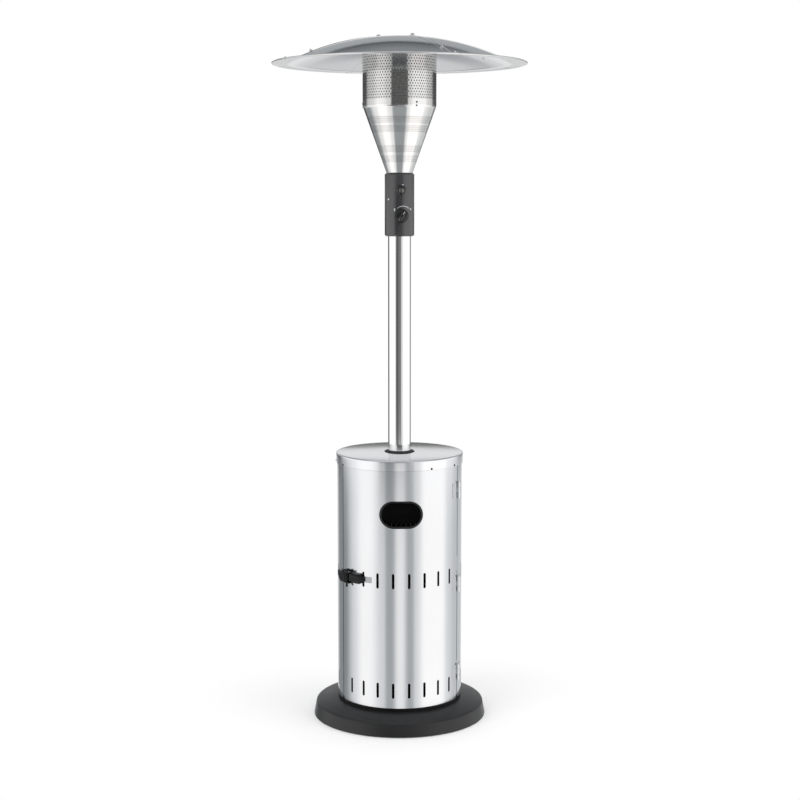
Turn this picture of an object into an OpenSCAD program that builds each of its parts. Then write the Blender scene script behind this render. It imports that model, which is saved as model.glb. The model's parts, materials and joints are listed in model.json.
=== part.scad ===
// Gas patio heater: black base, bottle housing with a hinged door, post, control housing,
// perforated burner and domed reflector. Millimetres, +Z up, front towards -Y, floor at z = 0.

/* [Base] */
// Radius of the base at the floor
base_r = 282; // [276:1:340]
// Radius of the base at its shoulder
base_shoulder_r = 275; // [235:1:281]
// Height of the shoulder
base_shoulder_h = 48; // [36:1:58]
// Rounding of the shoulder
base_round = 9; // [4:0.5:14]
// Height of the base's top beside the housing
base_top_h = 62; // [54:1:76]
// Sheet thickness of the base cover
base_wall = 2; // [1:0.5:3]
// Height of a rubber foot
foot_h = 2.5; // [2:0.5:8]
// Diameter of a rubber foot
foot_d = 30; // [16:1:50]
// Number of rubber feet
foot_count = 6; // [4:1:10]
// Distance of the feet from the centre
foot_ring_r = 245; // [180:1:260]
// Thickness of the bottom plate
bottom_plate_t = 3; // [2:0.5:6]
// Radius of the ballast disc
ballast_r = 200; // [120:1:220]
// Thickness of the ballast disc
ballast_t = 14; // [8:1:28]

/* [Housing] */
// Outer radius of the bottle housing
housing_r = 203.2; // [170:0.1:225]
// Height of the housing from its lower edge to the lid's top
housing_h = 801; // [720:1:1000]
// Gap between the base's top and the housing's lower edge
housing_lift = 10.5; // [4:0.5:20]
// Sheet thickness of the shell, door and top band
sheet = 1; // [0.6:0.1:2]
// Height of the bottle platform above the base's top
platform_h = 26; // [22:1:40]
// Rounding of the door's and the shell's lower corners
corner_round = 12; // [4:1:20]
// Gap between door and shell at each seam
seam_gap = 3.5; // [2:0.5:6]
// Depth of the door's folded side edges
door_fold = 11; // [6:1:16]
// Height of the band behind the door's top edge
top_band_h = 72; // [56:1:84]
// Thickness of the top plate that carries the post
top_plate_t = 4; // [3:0.5:8]

/* [Vent slots] */
// Slot places in a full turn of the housing
slot_places = 25; // [21:1:29]
// Slots across the door
door_slots = 8; // [6:2:8]
// Width of a slot
slot_w = 7.5; // [4:0.5:10]
// Length of a slot
slot_l = 49; // [30:1:70]
// Height of the lower slot row above the housing's lower edge
slot_low = 57; // [45:1:90]
// Height of the middle slot row above the housing's lower edge
slot_mid = 414; // [300:1:460]

/* [Lid] */
// Overhang of the lid past the housing
lid_overhang = 3; // [2:0.5:6]
// Height of the lid's skirt
lid_skirt = 33; // [20:1:50]
// Rounding of the lid's edge
lid_round = 5; // [3:0.5:10]
// Sheet thickness of the lid
lid_sheet = 1.2; // [0.8:0.1:2]
// Outer radius of the ring round the post
grommet_r = 49.5; // [46:0.5:60]
// Height of the ring round the post
grommet_h = 5; // [3:0.5:10]

/* [Grip] */
// Width of the grip's rim
grip_w = 139; // [110:1:170]
// Height of the grip's rim
grip_h = 88; // [60:1:110]
// Distance of the grip below the lid's top
grip_down = 173; // [135:1:260]
// Width of the rim's lip over the door
grip_lip = 5; // [3:0.5:9]
// Wall of the grip pocket
grip_wall = 2.5; // [1.5:0.5:4]
// Depth of the grip pocket behind the door
grip_depth = 34; // [20:1:44]
// Number of ribs on the pocket's floor
grip_ribs = 7; // [3:1:7]

/* [Hinges and latch] */
// Height of the low hinge above the housing's lower edge
hinge_low = 87; // [60:1:160]
// Height of the middle hinge above the housing's lower edge
hinge_mid = 380; // [300:1:460]
// Distance of the top hinge below the lid's top
hinge_down = 113; // [105:1:200]
// Height of a hinge
hinge_h = 50; // [36:1:70]
// Width of a hinge leaf
leaf_w = 25; // [18:1:34]
// Thickness of a hinge leaf
leaf_t = 1.5; // [1:0.5:2.5]
// Radius of a hinge knuckle
knuckle_r = 4.5; // [3.5:0.5:6]
// Radius of a hinge pin
hinge_pin_r = 2.4; // [1.5:0.1:3]
// Distance of a rivet from its leaf's end
rivet_inset = 7; // [5:0.5:12]
// Diameter of a rivet's head
rivet_d = 6.5; // [4:0.5:9]
// Distance of the latch pin from the door's left seam
latch_pin_in = 41.8; // [38:0.2:46]
// Distance of the latch pin from the door
latch_pin_off = 13; // [11:0.5:16]
// Diameter of the latch lever's round head
latch_head_d = 45; // [36:1:52]
// Height of the latch base
latch_base_h = 31; // [24:1:36]

/* [Post] */
// Radius of the post
post_r = 36.8; // [30:0.1:39]
// Wall of the post
post_wall = 1.5; // [1:0.5:3]
// Length of post between lid and control housing
post_rise = 697; // [450:1:900]
// Radius of the gas pipe
pipe_r = 5; // [4:0.5:7]

/* [Control housing] */
// Radius of the control housing
control_r = 47.4; // [46:0.1:60]
// Height of the control housing
control_h = 200.5; // [190:0.5:260]
// Wall of the control housing
control_wall = 2.5; // [2:0.5:4]
// Chamfer at both ends of the control housing
control_chamfer = 4; // [2:0.5:5]
// Angle of the controls from the front
control_turn = 6; // [-20:1:20]
// Height of the knob above the control housing's lower edge
knob_up = 65; // [55:1:80]
// Height of the ignition button above the control housing's lower edge
button_up = 146.5; // [130:0.5:165]
// Diameter of the knob's skirt
knob_d = 38; // [30:1:42]
// Diameter of the dial plate
dial_d = 45; // [42:1:52]
// Travel of the knob when it is pressed
knob_travel = 4; // [2:0.5:5]
// Angle of the knob's pointer from straight up, clockwise
knob_pointer = 30; // [0:5:60]
// Diameter of the ignition button
button_d = 18; // [14:1:22]
// Travel of the ignition button
button_travel = 5; // [3:0.5:6]

/* [Burner] */
// Lower radius of the burner cone
cone_low_r = 41.5; // [38:0.5:43]
// Upper radius of the burner cone
cone_top_r = 115; // [100:0.5:140]
// Height of the burner cone
cone_h = 203; // [160:1:260]
// Sheet thickness of the cone and screen
burner_sheet = 1; // [0.8:0.1:2]
// Height of the burner screen
screen_h = 168; // [120:1:194]
// Plain band at the foot of the screen
screen_plain = 18; // [14:1:30]
// Holes in a row round the screen
screen_holes = 36; // [24:1:48]
// Rows of holes in the screen
screen_rows = 8; // [5:1:12]
// Width of a hole in the screen
screen_hole_d = 10; // [5:0.5:12]
// Holes in a row round the cone
cone_holes = 20; // [16:1:36]
// Width of a hole in the cone
cone_hole_d = 5; // [3:0.5:6]

/* [Reflector] */
// Radius of the reflector
reflector_r = 405; // [320:1:480]
// Height of the reflector's crown over its rim
reflector_rise = 85; // [60:1:110]
// Width of the reflector's level brim
brim_w = 45; // [34:1:60]
// Height of the rim above the cone's top
reflector_lift = 140; // [120:1:170]
// Sheet thickness of the reflector
reflector_sheet = 1; // [0.8:0.1:2]
// Angle of the first seam from the front
panel_turn = 25; // [0:1:60]
// Width of the lap at a seam
lap_w = 18; // [12:1:26]
// Distance of the outer seam screws from the rim
lap_screw_out = 18; // [14:1:30]
// Distance of the inner seam screws from the rim
lap_screw_in = 105; // [80:1:160]
// Distance of the crown studs from the centre
stud_ring_r = 67; // [55:1:90]
// Angle of the first crown stud from the front
stud_turn = 36; // [0:1:60]

/* [Clearances] */
// Gap between pieces that move past each other
move_gap = 0.4; // [0.3:0.05:0.8]
// Gap round a turning pin
pin_gap = 0.05; // [0.02:0.01:0.1]
// Gap between fixed pieces that slip together
slip_gap = 0.2; // [0.1:0.05:0.4]
// Gap round a fixed screw, bolt or rivet
hole_gap = 0.1; // [0.05:0.05:0.2]

/* [Hidden] */
$fn = 96;

steel = "silver";
dark = "#2b2c2e";
brass = "#b5913f";
rubber = "#1d1d1f";
grey = "#8d9094";

// Heights, from the floor up
plate_top = foot_h + bottom_plate_t;
platform_top = base_top_h + platform_h;
housing_bottom = base_top_h + housing_lift;
lid_top = housing_bottom + housing_h;
lid_under = lid_top - lid_sheet;
skirt_bottom = lid_top - lid_skirt;
door_top = skirt_bottom - 1;
top_plate_top = skirt_bottom - 4;
wall_top = lid_top - lid_round;
socket_flange_t = 5;
post_bottom = top_plate_top + socket_flange_t;
control_bottom = lid_top + post_rise;
control_top = control_bottom + control_h;
post_top = control_bottom + 22;
bracket_t = 3;
bracket_top = post_top + bracket_t;
cone_bottom = control_top;
cone_top = cone_bottom + cone_h;
screen_bottom = cone_top + 8;
screen_top = screen_bottom + screen_h;
cap_t = 1.5;
rim_z = cone_top + reflector_lift;
apex_z = rim_z + reflector_rise;
brim_face = rim_z + reflector_sheet / 2;
dome_r = reflector_r - brim_w;
dome_rise = apex_z - brim_face;
sphere_r = (dome_r * dome_r + dome_rise * dome_rise) / (2 * dome_rise);
sphere_z = apex_z - sphere_r;

// Radii that fit one another
shell_in = housing_r - sheet;
lid_r = housing_r + lid_overhang;
band_r = shell_in - move_gap;
band_in = band_r - sheet;
platform_r = shell_in - move_gap;
top_plate_r = band_in - slip_gap;
leg_r = 11;
leg_ring_r = housing_r - 26;
leg_turns = [-100, 100, 180];
platform_round = 6;
seat_r = leg_ring_r - leg_r - 12;
seat_h = 2;
base_flat_r = housing_r + 3;
bottom_plate_r = base_r - base_wall - slip_gap - (base_r - base_shoulder_r) * plate_top / base_shoulder_h;
control_in = control_r - control_wall;
screen_r = cone_top_r + 2.2;
collar_r = screen_r - burner_sheet - slip_gap;

// Seams, slots and hinge line, as angles from the front
slot_pitch = 360 / slot_places;
seam_turn = (door_slots / 2 + 0.5) * slot_pitch;
half_gap = turn_of(seam_gap / 2);
door_turn = seam_turn - half_gap;
shell_turn = seam_turn + half_gap;
hinge_off = knuckle_r + 0.5;
hinge_r = housing_r + hinge_off;
hinge_zs = [hinge_low, hinge_mid, housing_h - hinge_down];
grip_z = lid_top - grip_down;
leaf_turn = turn_of(leaf_w);
knuckle_clear = turn_of(knuckle_r + 3.5);
knuckle_mid_h = hinge_h / 3;

// Latch: its row, pin and the reach of its pieces, as angles from the front
latch_z = housing_bottom + slot_mid;
latch_pin_turn = -seam_turn + turn_of(latch_pin_in);
latch_pin_ring = housing_r + latch_pin_off;
latch_slot_turn = -seam_turn + 2 * slot_pitch;
latch_pin_r = 3;
latch_hub_r = 7;
latch_ear_z = latch_base_h / 2 - 1;
latch_ear_t = 4;
latch_nose_turn = -seam_turn - 6.5;
latch_head_turn = latch_pin_turn - 5;
keeper_t = 2.4;
latch_sweep = 10.8;
latch_sweep_turn = turn_of(latch_sweep + 2 * move_gap);

// Places on the control housing, as distances along the controls' axes
knob_z = control_bottom + knob_up;
button_z = control_bottom + button_up;
dial_floor = control_r + 1.5;
knob_back = dial_floor + knob_travel + 0.5;
dial_face = knob_back + 1;
knob_face = knob_back + 6;
knob_tip = knob_face + 11;
stem_r = 4;
collar_back = control_in - 5;
valve_nose = collar_back - knob_travel - 6;
valve_bore_end = 1;
stem_end = valve_bore_end + knob_travel + 1;
button_back = control_in - 1;
button_front = control_r + 8;
bezel_face = control_r + 4;
igniter_front = button_back - button_travel - 0.6;
bezel_bore_r = button_d / 2 + 0.3;
bezel_sleeve_r = bezel_bore_r + 1.6;
bezel_d = button_d + 13;

// Points of a circular arc, from angle a0 to angle a1
function arc(c, r, a0, a1, n = 8) =
  [for (i = [0:n]) c + r * [cos(a0 + (a1 - a0) * i / n), sin(a0 + (a1 - a0) * i / n)]];

// Height of a sphere about the reflector's centre, at a distance from the axis
function dome_z(r, ball_r) = sphere_z + sqrt(ball_r * ball_r - r * r);

// Radius of the cone's outer face at a height
function cone_r_at(z) = cone_low_r + (cone_top_r - cone_low_r) * (z - cone_bottom) / cone_h;

// Angle that a length takes up on the housing
function turn_of(length) = length / housing_r * 180 / PI;

// Turns a shape drawn along +X to an angle measured from the front
module facing(turn) {
  rotate([0, 0, turn - 90]) children();
}

// Part of an upright round wall between two angles
module wall_sector(r, t, turn_a, turn_b, z_a, z_b) {
  facing(turn_a)
    rotate_extrude(angle = turn_b - turn_a)
      translate([r - t, z_a]) square([t, z_b - z_a]);
}

// Full round wall
module ring(r_out, r_in, z_a, z_b) {
  rotate_extrude()
    translate([r_in, z_a]) square([r_out - r_in, z_b - z_a]);
}

// Upright cylinder between two heights
module post_between(r, z_a, z_b) {
  translate([0, 0, z_a]) cylinder(r = r, h = z_b - z_a);
}

// Cylinder along +X between two distances
module bar_x(r, x_a, x_b) {
  translate([x_a, 0, 0]) rotate([0, 90, 0]) cylinder(r = r, h = x_b - x_a);
}

// Flat shape with its first axis upright and its second along Y, pushed along +X
module push_x(x_a, x_b) {
  translate([x_a, 0, 0]) rotate([0, 90, 0]) linear_extrude(x_b - x_a) children();
}

// Slot outline with round ends
module stadium(l, w) {
  square([l - w, w], center = true);
  for (s = [-1, 1])
    translate([s * (l - w) / 2, 0]) circle(d = w);
}

// Half profile of a disc or tray with a rounded upper edge
module rounded_half(r, z_a, z_b, edge) {
  translate([0, z_a]) square([r, z_b - edge - z_a]);
  translate([0, z_a]) square([r - edge, z_b - z_a]);
  translate([r - edge, z_b - edge]) circle(r = edge);
}

// Inverted tray with a rounded edge and a hole in the middle
module tray(r, t, edge, z_a, z_b, hole_r) {
  rotate_extrude()
    difference() {
      rounded_half(r, z_a, z_b, edge);
      translate([-1, 0]) rounded_half(r - t + 1, z_a - 1, z_b - t, edge - t);
      translate([-edge, z_a - 1]) square([edge + hole_r, z_b - z_a + 2]);
    }
}

// Material outside a rounded corner, in the plane of the wall, to the right of the seam
module corner_cut(turn, side) {
  facing(turn)
    translate([housing_r - 6, 0, housing_bottom])
      rotate([90, 0, 90])
        linear_extrude(12)
          mirror([side < 0 ? 1 : 0, 0])
            difference() {
              translate([-1, -1]) square(corner_round + 1);
              translate([corner_round, corner_round]) circle(r = corner_round);
            }
}

module vent_slot(turn, z) {
  facing(turn)
    translate([0, 0, z])
      push_x(housing_r - 6, housing_r + 6) stadium(slot_l, slot_w);
}

module slot_row(places, z) {
  for (i = places)
    vent_slot((i + 0.5) * slot_pitch, z);
}

// Round-headed fastener along +X: head outside x, shank inwards
module radial_screw(x, head_d, head_h, shank_r, shank_l) {
  bar_x(shank_r, x - shank_l, x);
  translate([x, 0, 0])
    rotate([0, 90, 0])
      rotate_extrude()
        intersection() {
          translate([0, head_h - head_d * head_d / (8 * head_h) - head_h / 2])
            circle(r = head_d * head_d / (8 * head_h) + head_h / 2);
          square([head_d, head_h]);
        }
}

// Base

module base_half(inset) {
  c = [base_shoulder_r - base_round, base_shoulder_h - base_round];
  side = atan2(base_r - base_shoulder_r, base_shoulder_h);
  slope = atan2(base_top_h - base_shoulder_h, base_shoulder_r - base_round - base_flat_r);
  polygon(concat(
    [[0, foot_h], [base_r - inset, foot_h]],
    arc(c, base_round - inset, side, 90 - slope),
    [[base_flat_r, base_top_h - inset], [0, base_top_h - inset]]
  ));
}

module base_cover() {
  color(dark)
    rotate_extrude()
      difference() {
        base_half(0);
        translate([0, -0.01]) base_half(base_wall);
      }
}

module bottom_plate() {
  color(grey)
    post_between(bottom_plate_r, foot_h, plate_top);
}

module ballast_disc() {
  color(grey)
    post_between(ballast_r, plate_top, plate_top + ballast_t);
}

module rubber_feet() {
  color(rubber)
    for (i = [0:foot_count - 1])
      facing((i + 0.5) * 360 / foot_count)
        translate([foot_ring_r, 0, 0]) cylinder(d = foot_d, h = foot_h);
}

// Raised disc with a round seat for the gas bottle between the legs
module bottle_platform() {
  color(dark)
    difference() {
      union() {
        tray(platform_r, base_wall, platform_round, base_top_h, platform_top, 0);
        post_between(seat_r, platform_top - 1, platform_top + seat_h);
      }
      shell_screw_places() bar_x(shell_screw_r + hole_gap, platform_r - 10, platform_r + 10);
    }
}

// Legs, top plate and top band

module support_leg(turn) {
  color(grey)
    facing(turn)
      translate([leg_ring_r, 0, platform_top])
        difference() {
          union() {
            cylinder(r = leg_r, h = top_plate_top - top_plate_t - platform_top);
            cylinder(r = leg_r + 4, h = 3);
          }
          translate([0, 0, -1]) cylinder(r = leg_r - 2, h = lid_top);
        }
}

module support_leg_left() { support_leg(leg_turns[0]); }
module support_leg_right() { support_leg(leg_turns[1]); }
module support_leg_rear() { support_leg(leg_turns[2]); }

socket_bolt_ring = post_r + 20;
socket_bolt_r = 4;
socket_flange_r = post_r + 32;
socket_bolt_turns = [45, 135, 225, 315];

module socket_bolt_places() {
  for (turn = socket_bolt_turns)
    facing(turn) translate([socket_bolt_ring, 0, 0]) children();
}

module top_plate() {
  color(grey)
    difference() {
      post_between(top_plate_r, top_plate_top - top_plate_t, top_plate_top);
      post_between(pipe_r + 5, 0, lid_top);
      socket_bolt_places() post_between(socket_bolt_r + hole_gap, 0, lid_top);
    }
}

module top_band() {
  color(grey)
    difference() {
      ring(band_r, band_in, lid_under - top_band_h, wall_top);
      lid_screw_places() bar_x(lid_screw_r + hole_gap, band_in - 2, lid_r);
    }
}

module post_socket() {
  spigot_r = post_r - post_wall - slip_gap;
  color(grey)
    difference() {
      union() {
        post_between(socket_flange_r, top_plate_top, post_bottom);
        post_between(spigot_r, top_plate_top, post_bottom + 55);
      }
      post_between(spigot_r - 3, 0, lid_top + 200);
      socket_bolt_places() post_between(socket_bolt_r + hole_gap, 0, lid_top);
    }
}

module socket_bolts() {
  color(steel)
    socket_bolt_places() {
      post_between(socket_bolt_r, top_plate_top - top_plate_t - 9, post_bottom);
      translate([0, 0, post_bottom]) cylinder(r = 7.5, h = 5.5, $fn = 6);
      translate([0, 0, top_plate_top - top_plate_t - 6.5]) cylinder(r = 7.5, h = 6.5, $fn = 6);
    }
}

// Post and gas pipe

module post() {
  color(steel)
    ring(post_r, post_r - post_wall, post_bottom, post_top);
}

nipple_h = 46;
pipe_bottom = top_plate_top - top_plate_t - 18;

module gas_pipe() {
  color(brass)
    ring(pipe_r, pipe_r - 1, pipe_bottom, bracket_top);
}

// Barbed tail for the hose, with a hexagon to hold it by
module hose_nipple() {
  bore = 2.5;
  barb = 4;
  color(brass)
    difference() {
      union() {
        translate([0, 0, pipe_bottom - 12]) cylinder(r = 9, h = 12, $fn = 6);
        for (i = [0:4])
          translate([0, 0, pipe_bottom - nipple_h + i * 7]) cylinder(r1 = barb, r2 = barb + 1, h = 7);
      }
      post_between(bore, 0, lid_top);
    }
}

// Housing

shell_screw_up = 5;
shell_screw_r = 2;
rivet_r = 2;

module shell_screw_places() {
  for (turn = leg_turns)
    facing(turn) translate([0, 0, housing_bottom + shell_screw_up]) children();
}

module rear_shell() {
  color(steel)
    difference() {
      wall_sector(housing_r, sheet, shell_turn, 360 - shell_turn, housing_bottom, wall_top);
      slot_row([door_slots / 2 + 1:slot_places - door_slots / 2 - 2], housing_bottom + slot_low);
      slot_row([door_slots / 2 + 1:slot_places - door_slots / 2 - 2], housing_bottom + slot_mid);
      corner_cut(shell_turn, 1);
      corner_cut(-shell_turn, -1);
      lid_screw_places() bar_x(lid_screw_r + hole_gap, shell_in - 5, lid_r);
      shell_screw_places() bar_x(shell_screw_r + hole_gap, shell_in - 5, lid_r);
      hinge_rivet_places(1) bar_x(rivet_r + hole_gap, shell_in - 5, lid_r);
    }
}

module shell_screws() {
  color(steel)
    shell_screw_places() radial_screw(housing_r, 8, 2.5, shell_screw_r, 9);
}

lid_screw_up = 4;
lid_screw_r = 1.6;
lid_screw_turns = [for (i = [0:2]) for (a = [28, 57]) a + i * 120];

module lid_screw_places() {
  for (turn = lid_screw_turns)
    facing(turn) translate([0, 0, skirt_bottom + lid_screw_up]) children();
}

module lid() {
  color(steel)
    difference() {
      tray(lid_r, lid_sheet, lid_round, skirt_bottom, lid_top, post_r + 1.5);
      lid_screw_places() bar_x(lid_screw_r + hole_gap, band_in, lid_r + 5);
    }
}

module lid_screws() {
  color(steel)
    lid_screw_places() radial_screw(lid_r, 7, 1.6, lid_screw_r, lid_r - band_in + 2);
}

module post_grommet() {
  color(rubber)
    rotate_extrude()
      difference() {
        translate([post_r + slip_gap, lid_top]) square([grommet_r - post_r - slip_gap, grommet_h]);
        translate([grommet_r, lid_top + grommet_h]) circle(r = grommet_h - 1);
      }
}

// Door

module grip_outline(inset) {
  stadium(grip_w - 2 * inset, grip_h - 2 * inset);
}

// The grip's outline, wide side level, pushed through the door at the front
module grip_push(inset, x_a, x_b) {
  facing(0)
    translate([0, 0, grip_z])
      push_x(x_a, x_b) rotate(90) grip_outline(inset);
}

module door() {
  fold_turn = turn_of(sheet);
  fold_r = shell_in + sheet / 2;
  fold_bottom = platform_top + 8;
  fold_top = lid_under - top_band_h - 8;
  color(steel)
    difference() {
      union() {
        wall_sector(housing_r, sheet, -door_turn, door_turn, housing_bottom, door_top);
        wall_sector(fold_r, door_fold, -door_turn, -door_turn + fold_turn, fold_bottom, fold_top);
        wall_sector(fold_r, door_fold, door_turn - fold_turn, door_turn, fold_bottom, fold_top);
      }
      slot_row([-door_slots / 2:door_slots / 2 - 1], housing_bottom + slot_low);
      slot_row([-door_slots / 2:door_slots / 2 - 1], housing_bottom + slot_mid);
      grip_push(grip_lip, housing_r - 30, housing_r + 5);
      corner_cut(-door_turn, 1);
      corner_cut(door_turn, -1);
      hinge_rivet_places(-1) bar_x(rivet_r + hole_gap, shell_in - 5, lid_r);
    }
}

// Pocket with a lip on the door's face, ribs on its floor and a closed back
module grip_insert() {
  lip_r = housing_r + 2;
  back = shell_in - grip_depth;
  inner = grip_lip + slip_gap + grip_wall;
  floor_z = grip_z - grip_h / 2 + inner;
  rib_pitch = (grip_w - 49) / (grip_ribs - 1);
  color(rubber)
    difference() {
      union() {
        intersection() {
          grip_push(0, housing_r - 40, lip_r + 5);
          wall_sector(lip_r, 2, -60, 60, housing_bottom, lid_top);
        }
        intersection() {
          grip_push(grip_lip + slip_gap, back, lip_r);
          post_between(lip_r - 1, housing_bottom, lid_top);
        }
      }
      difference() {
        grip_push(inner, back + grip_wall, lip_r + 5);
        for (i = [0:grip_ribs - 1])
          facing(0)
            translate([back, (i - (grip_ribs - 1) / 2) * rib_pitch - 1, floor_z - 5])
              cube([grip_depth - 6, 2, 15]);
      }
    }
}

// Hinges. side is -1 for the door's leaf and +1 for the shell's leaf

module hinge_places() {
  for (z = hinge_zs)
    translate([0, 0, housing_bottom + z]) children();
}

module hinge_rivet_places(side) {
  for (z = hinge_zs)
    for (s = [-1, 1])
      facing(seam_turn + side * (knuckle_clear + leaf_turn * 0.55))
        translate([0, 0, housing_bottom + z + s * (hinge_h / 2 - rivet_inset)]) children();
}

module knuckle(z_a, z_b) {
  facing(seam_turn)
    translate([hinge_r, 0, z_a]) cylinder(r = knuckle_r, h = z_b - z_a);
}

// A leaf reaches the hinge line only where it has a knuckle
module hinge_leaf(side, knuckles, gaps) {
  far = seam_turn + side * (knuckle_clear + leaf_turn);
  near = seam_turn + side * knuckle_clear;
  past = seam_turn - side;
  difference() {
    union() {
      difference() {
        wall_sector(housing_r + leaf_t, leaf_t, min(far, seam_turn), max(far, seam_turn),
          -hinge_h / 2, hinge_h / 2);
        for (g = gaps)
          wall_sector(hinge_r, 2 * hinge_off, min(near, past), max(near, past), g[0], g[1]);
      }
      for (k = knuckles)
        knuckle(k[0], k[1]);
    }
    facing(seam_turn)
      translate([hinge_r, 0, -hinge_h]) cylinder(r = hinge_pin_r + pin_gap, h = 2 * hinge_h);
  }
}

module drilled_leaves(side, knuckles, gaps) {
  difference() {
    hinge_places() hinge_leaf(side, knuckles, gaps);
    hinge_rivet_places(side) bar_x(rivet_r + hole_gap, housing_r - 5, housing_r + 9);
  }
}

module door_hinge_leaves() {
  m = knuckle_mid_h / 2;
  color(steel) drilled_leaves(-1, [[-m, m]], [[-hinge_h, -m], [m, hinge_h]]);
}

module shell_hinge_leaves() {
  m = knuckle_mid_h / 2 + move_gap;
  color(steel) drilled_leaves(1, [[-hinge_h / 2, -m], [m, hinge_h / 2]], [[-m, m]]);
}

module hinge_pins() {
  color(steel)
    hinge_places()
      facing(seam_turn)
        translate([hinge_r, 0, -hinge_h / 2]) {
          translate([0, 0, -1.5]) cylinder(r = hinge_pin_r, h = hinge_h + 3);
          for (z = [-3, hinge_h + 0.2])
            translate([0, 0, z]) cylinder(r = hinge_pin_r + 1.1, h = 2.8);
        }
}

module hinge_rivets(side) {
  color(steel)
    hinge_rivet_places(side) radial_screw(housing_r + leaf_t, rivet_d, 2, rivet_r, leaf_t + sheet + 1.5);
}

module hinge_rivets_door() { hinge_rivets(-1); }
module hinge_rivets_shell() { hinge_rivets(1); }

// Latch on the door's left edge

plate_t = 1;
latch_foot_r = housing_r - 8;
latch_foot_l = 13;
latch_base_r = housing_r + 14;

module latch_plate() {
  color(steel)
    difference() {
      wall_sector(housing_r + plate_t, plate_t, latch_pin_turn + latch_sweep_turn, latch_slot_turn + 8.5,
        latch_z - 9.5, latch_z + 9.5);
      latch_foot(slip_gap);
    }
}

// Tongue of the latch base that stands in its vent slot
module latch_foot(gap) {
  facing(latch_slot_turn)
    translate([0, 0, latch_z])
      push_x(latch_foot_r, latch_base_r - 4) stadium(latch_foot_l + 2 * gap, slot_w - 1.5 + 2 * gap);
}

module latch_pin_place() {
  facing(latch_pin_turn) translate([latch_pin_ring, 0, latch_z]) children();
}

module latch_base() {
  left = latch_pin_turn + latch_sweep_turn;
  right = latch_slot_turn + turn_of(slot_w / 2);
  mid = (left + right) / 2;
  half = (right - left) / 2 * housing_r * PI / 180;
  color(rubber)
    difference() {
      union() {
        intersection() {
          wall_sector(latch_base_r, latch_base_r - housing_r - plate_t, left, right,
            latch_z - latch_base_h, latch_z + latch_base_h);
          facing(mid)
            translate([housing_r - 30, 0, latch_z])
              rotate([90, 0, 90])
                linear_extrude(80)
                  polygon([
                    [-half - 5, -latch_base_h / 2 - 3], [-half * 0.5, -latch_base_h / 2],
                    [half * 0.7, -latch_base_h / 2], [half + 5, -latch_base_h / 4],
                    [half + 5, latch_base_h / 4], [half * 0.7, latch_base_h / 2],
                    [-half * 0.5, latch_base_h / 2], [-half - 5, latch_base_h / 2 + 3]
                  ]);
        }
        latch_foot(0);
        for (s = [-1, 1])
          latch_pin_place()
            translate([0, 0, s * (latch_ear_z + latch_ear_t / 2)])
              latch_ear();
      }
      latch_pin_place() cylinder(r = latch_pin_r + hole_gap, h = 100, center = true);
    }
}

// Flat ear from the pin to the latch base
module latch_ear() {
  cylinder(r = latch_hub_r + 1, h = latch_ear_t, center = true);
  translate([-7, 0, -latch_ear_t / 2]) cube([12, 16, latch_ear_t]);
}

module latch_pin() {
  color(steel)
    latch_pin_place() {
      translate([0, 0, -latch_ear_z - latch_ear_t - 10]) {
        cylinder(r = latch_pin_r, h = 2 * (latch_ear_z + latch_ear_t) + 14);
        sphere(r = latch_pin_r + 1);
      }
    }
}

// Round head that turns on the pin, with a nose over the keeper
module latch_lever() {
  nose_in = housing_r + keeper_t + move_gap;
  head_out = latch_pin_ring + 8;
  color(rubber)
    difference() {
      union() {
        facing(latch_head_turn)
          translate([0, 0, latch_z])
            translate([housing_r + 3, 0, 0])
              rotate([0, 90, 0])
                cylinder(d1 = latch_head_d, d2 = latch_head_d - 8, h = head_out - housing_r - 3);
        wall_sector(nose_in + 10, 10, latch_nose_turn, latch_head_turn, latch_z - 12, latch_z + 12);
        latch_pin_place() cylinder(r = latch_hub_r, h = 2 * (latch_ear_z - move_gap), center = true);
      }
      post_between(nose_in, 0, lid_top);
      latch_pin_place() cylinder(r = latch_pin_r + pin_gap, h = 100, center = true);
      for (s = [-1, 1])
        latch_pin_place()
          translate([0, 0, s * (latch_ear_z - move_gap + 20)])
            cylinder(r = latch_hub_r + 2, h = 40, center = true);
      latch_pin_place() translate([-30, latch_sweep, -50]) cube([60, 60, 100]);
    }
}

module latch_keeper() {
  color(steel)
    wall_sector(housing_r + keeper_t, keeper_t, latch_nose_turn - 1.5, -shell_turn - 0.6,
      latch_z - 10, latch_z + 10);
}

// Control housing

module control_place(z) {
  facing(control_turn) translate([0, 0, z]) children();
}

module control_half(inset, z_a, z_b) {
  r = control_r - inset;
  c = control_chamfer;
  polygon([[0, z_a], [r - c, z_a], [r, z_a + c], [r, z_b - c], [r - c, z_b], [0, z_b]]);
}

module control_housing() {
  color(dark)
    difference() {
      rotate_extrude()
        difference() {
          control_half(0, control_bottom, control_top);
          control_half(control_wall, control_bottom + control_wall, control_top - control_wall);
        }
      post_between(post_r + slip_gap, 0, control_bottom + 20);
      post_between(cone_low_r - 8, control_top - 20, control_top + 20);
      control_place(knob_z) bar_x(dial_boss_r, control_in - 25, control_r + 20);
      control_place(button_z) bar_x(bezel_sleeve_r + slip_gap, control_in - 25, control_r + 20);
      control_screw_place() bar_x(control_screw_r + hole_gap, control_in - 5, control_r + 5);
    }
}

control_screw_turn = -49;
control_screw_up = 118;
control_screw_r = 2.5;

module control_screw_place() {
  facing(control_screw_turn) translate([0, 0, control_bottom + control_screw_up]) children();
}

module control_screw() {
  color(steel)
    control_screw_place() radial_screw(control_r, 8, 2.5, control_screw_r, 9);
}

dial_boss_r = 14;

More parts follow.
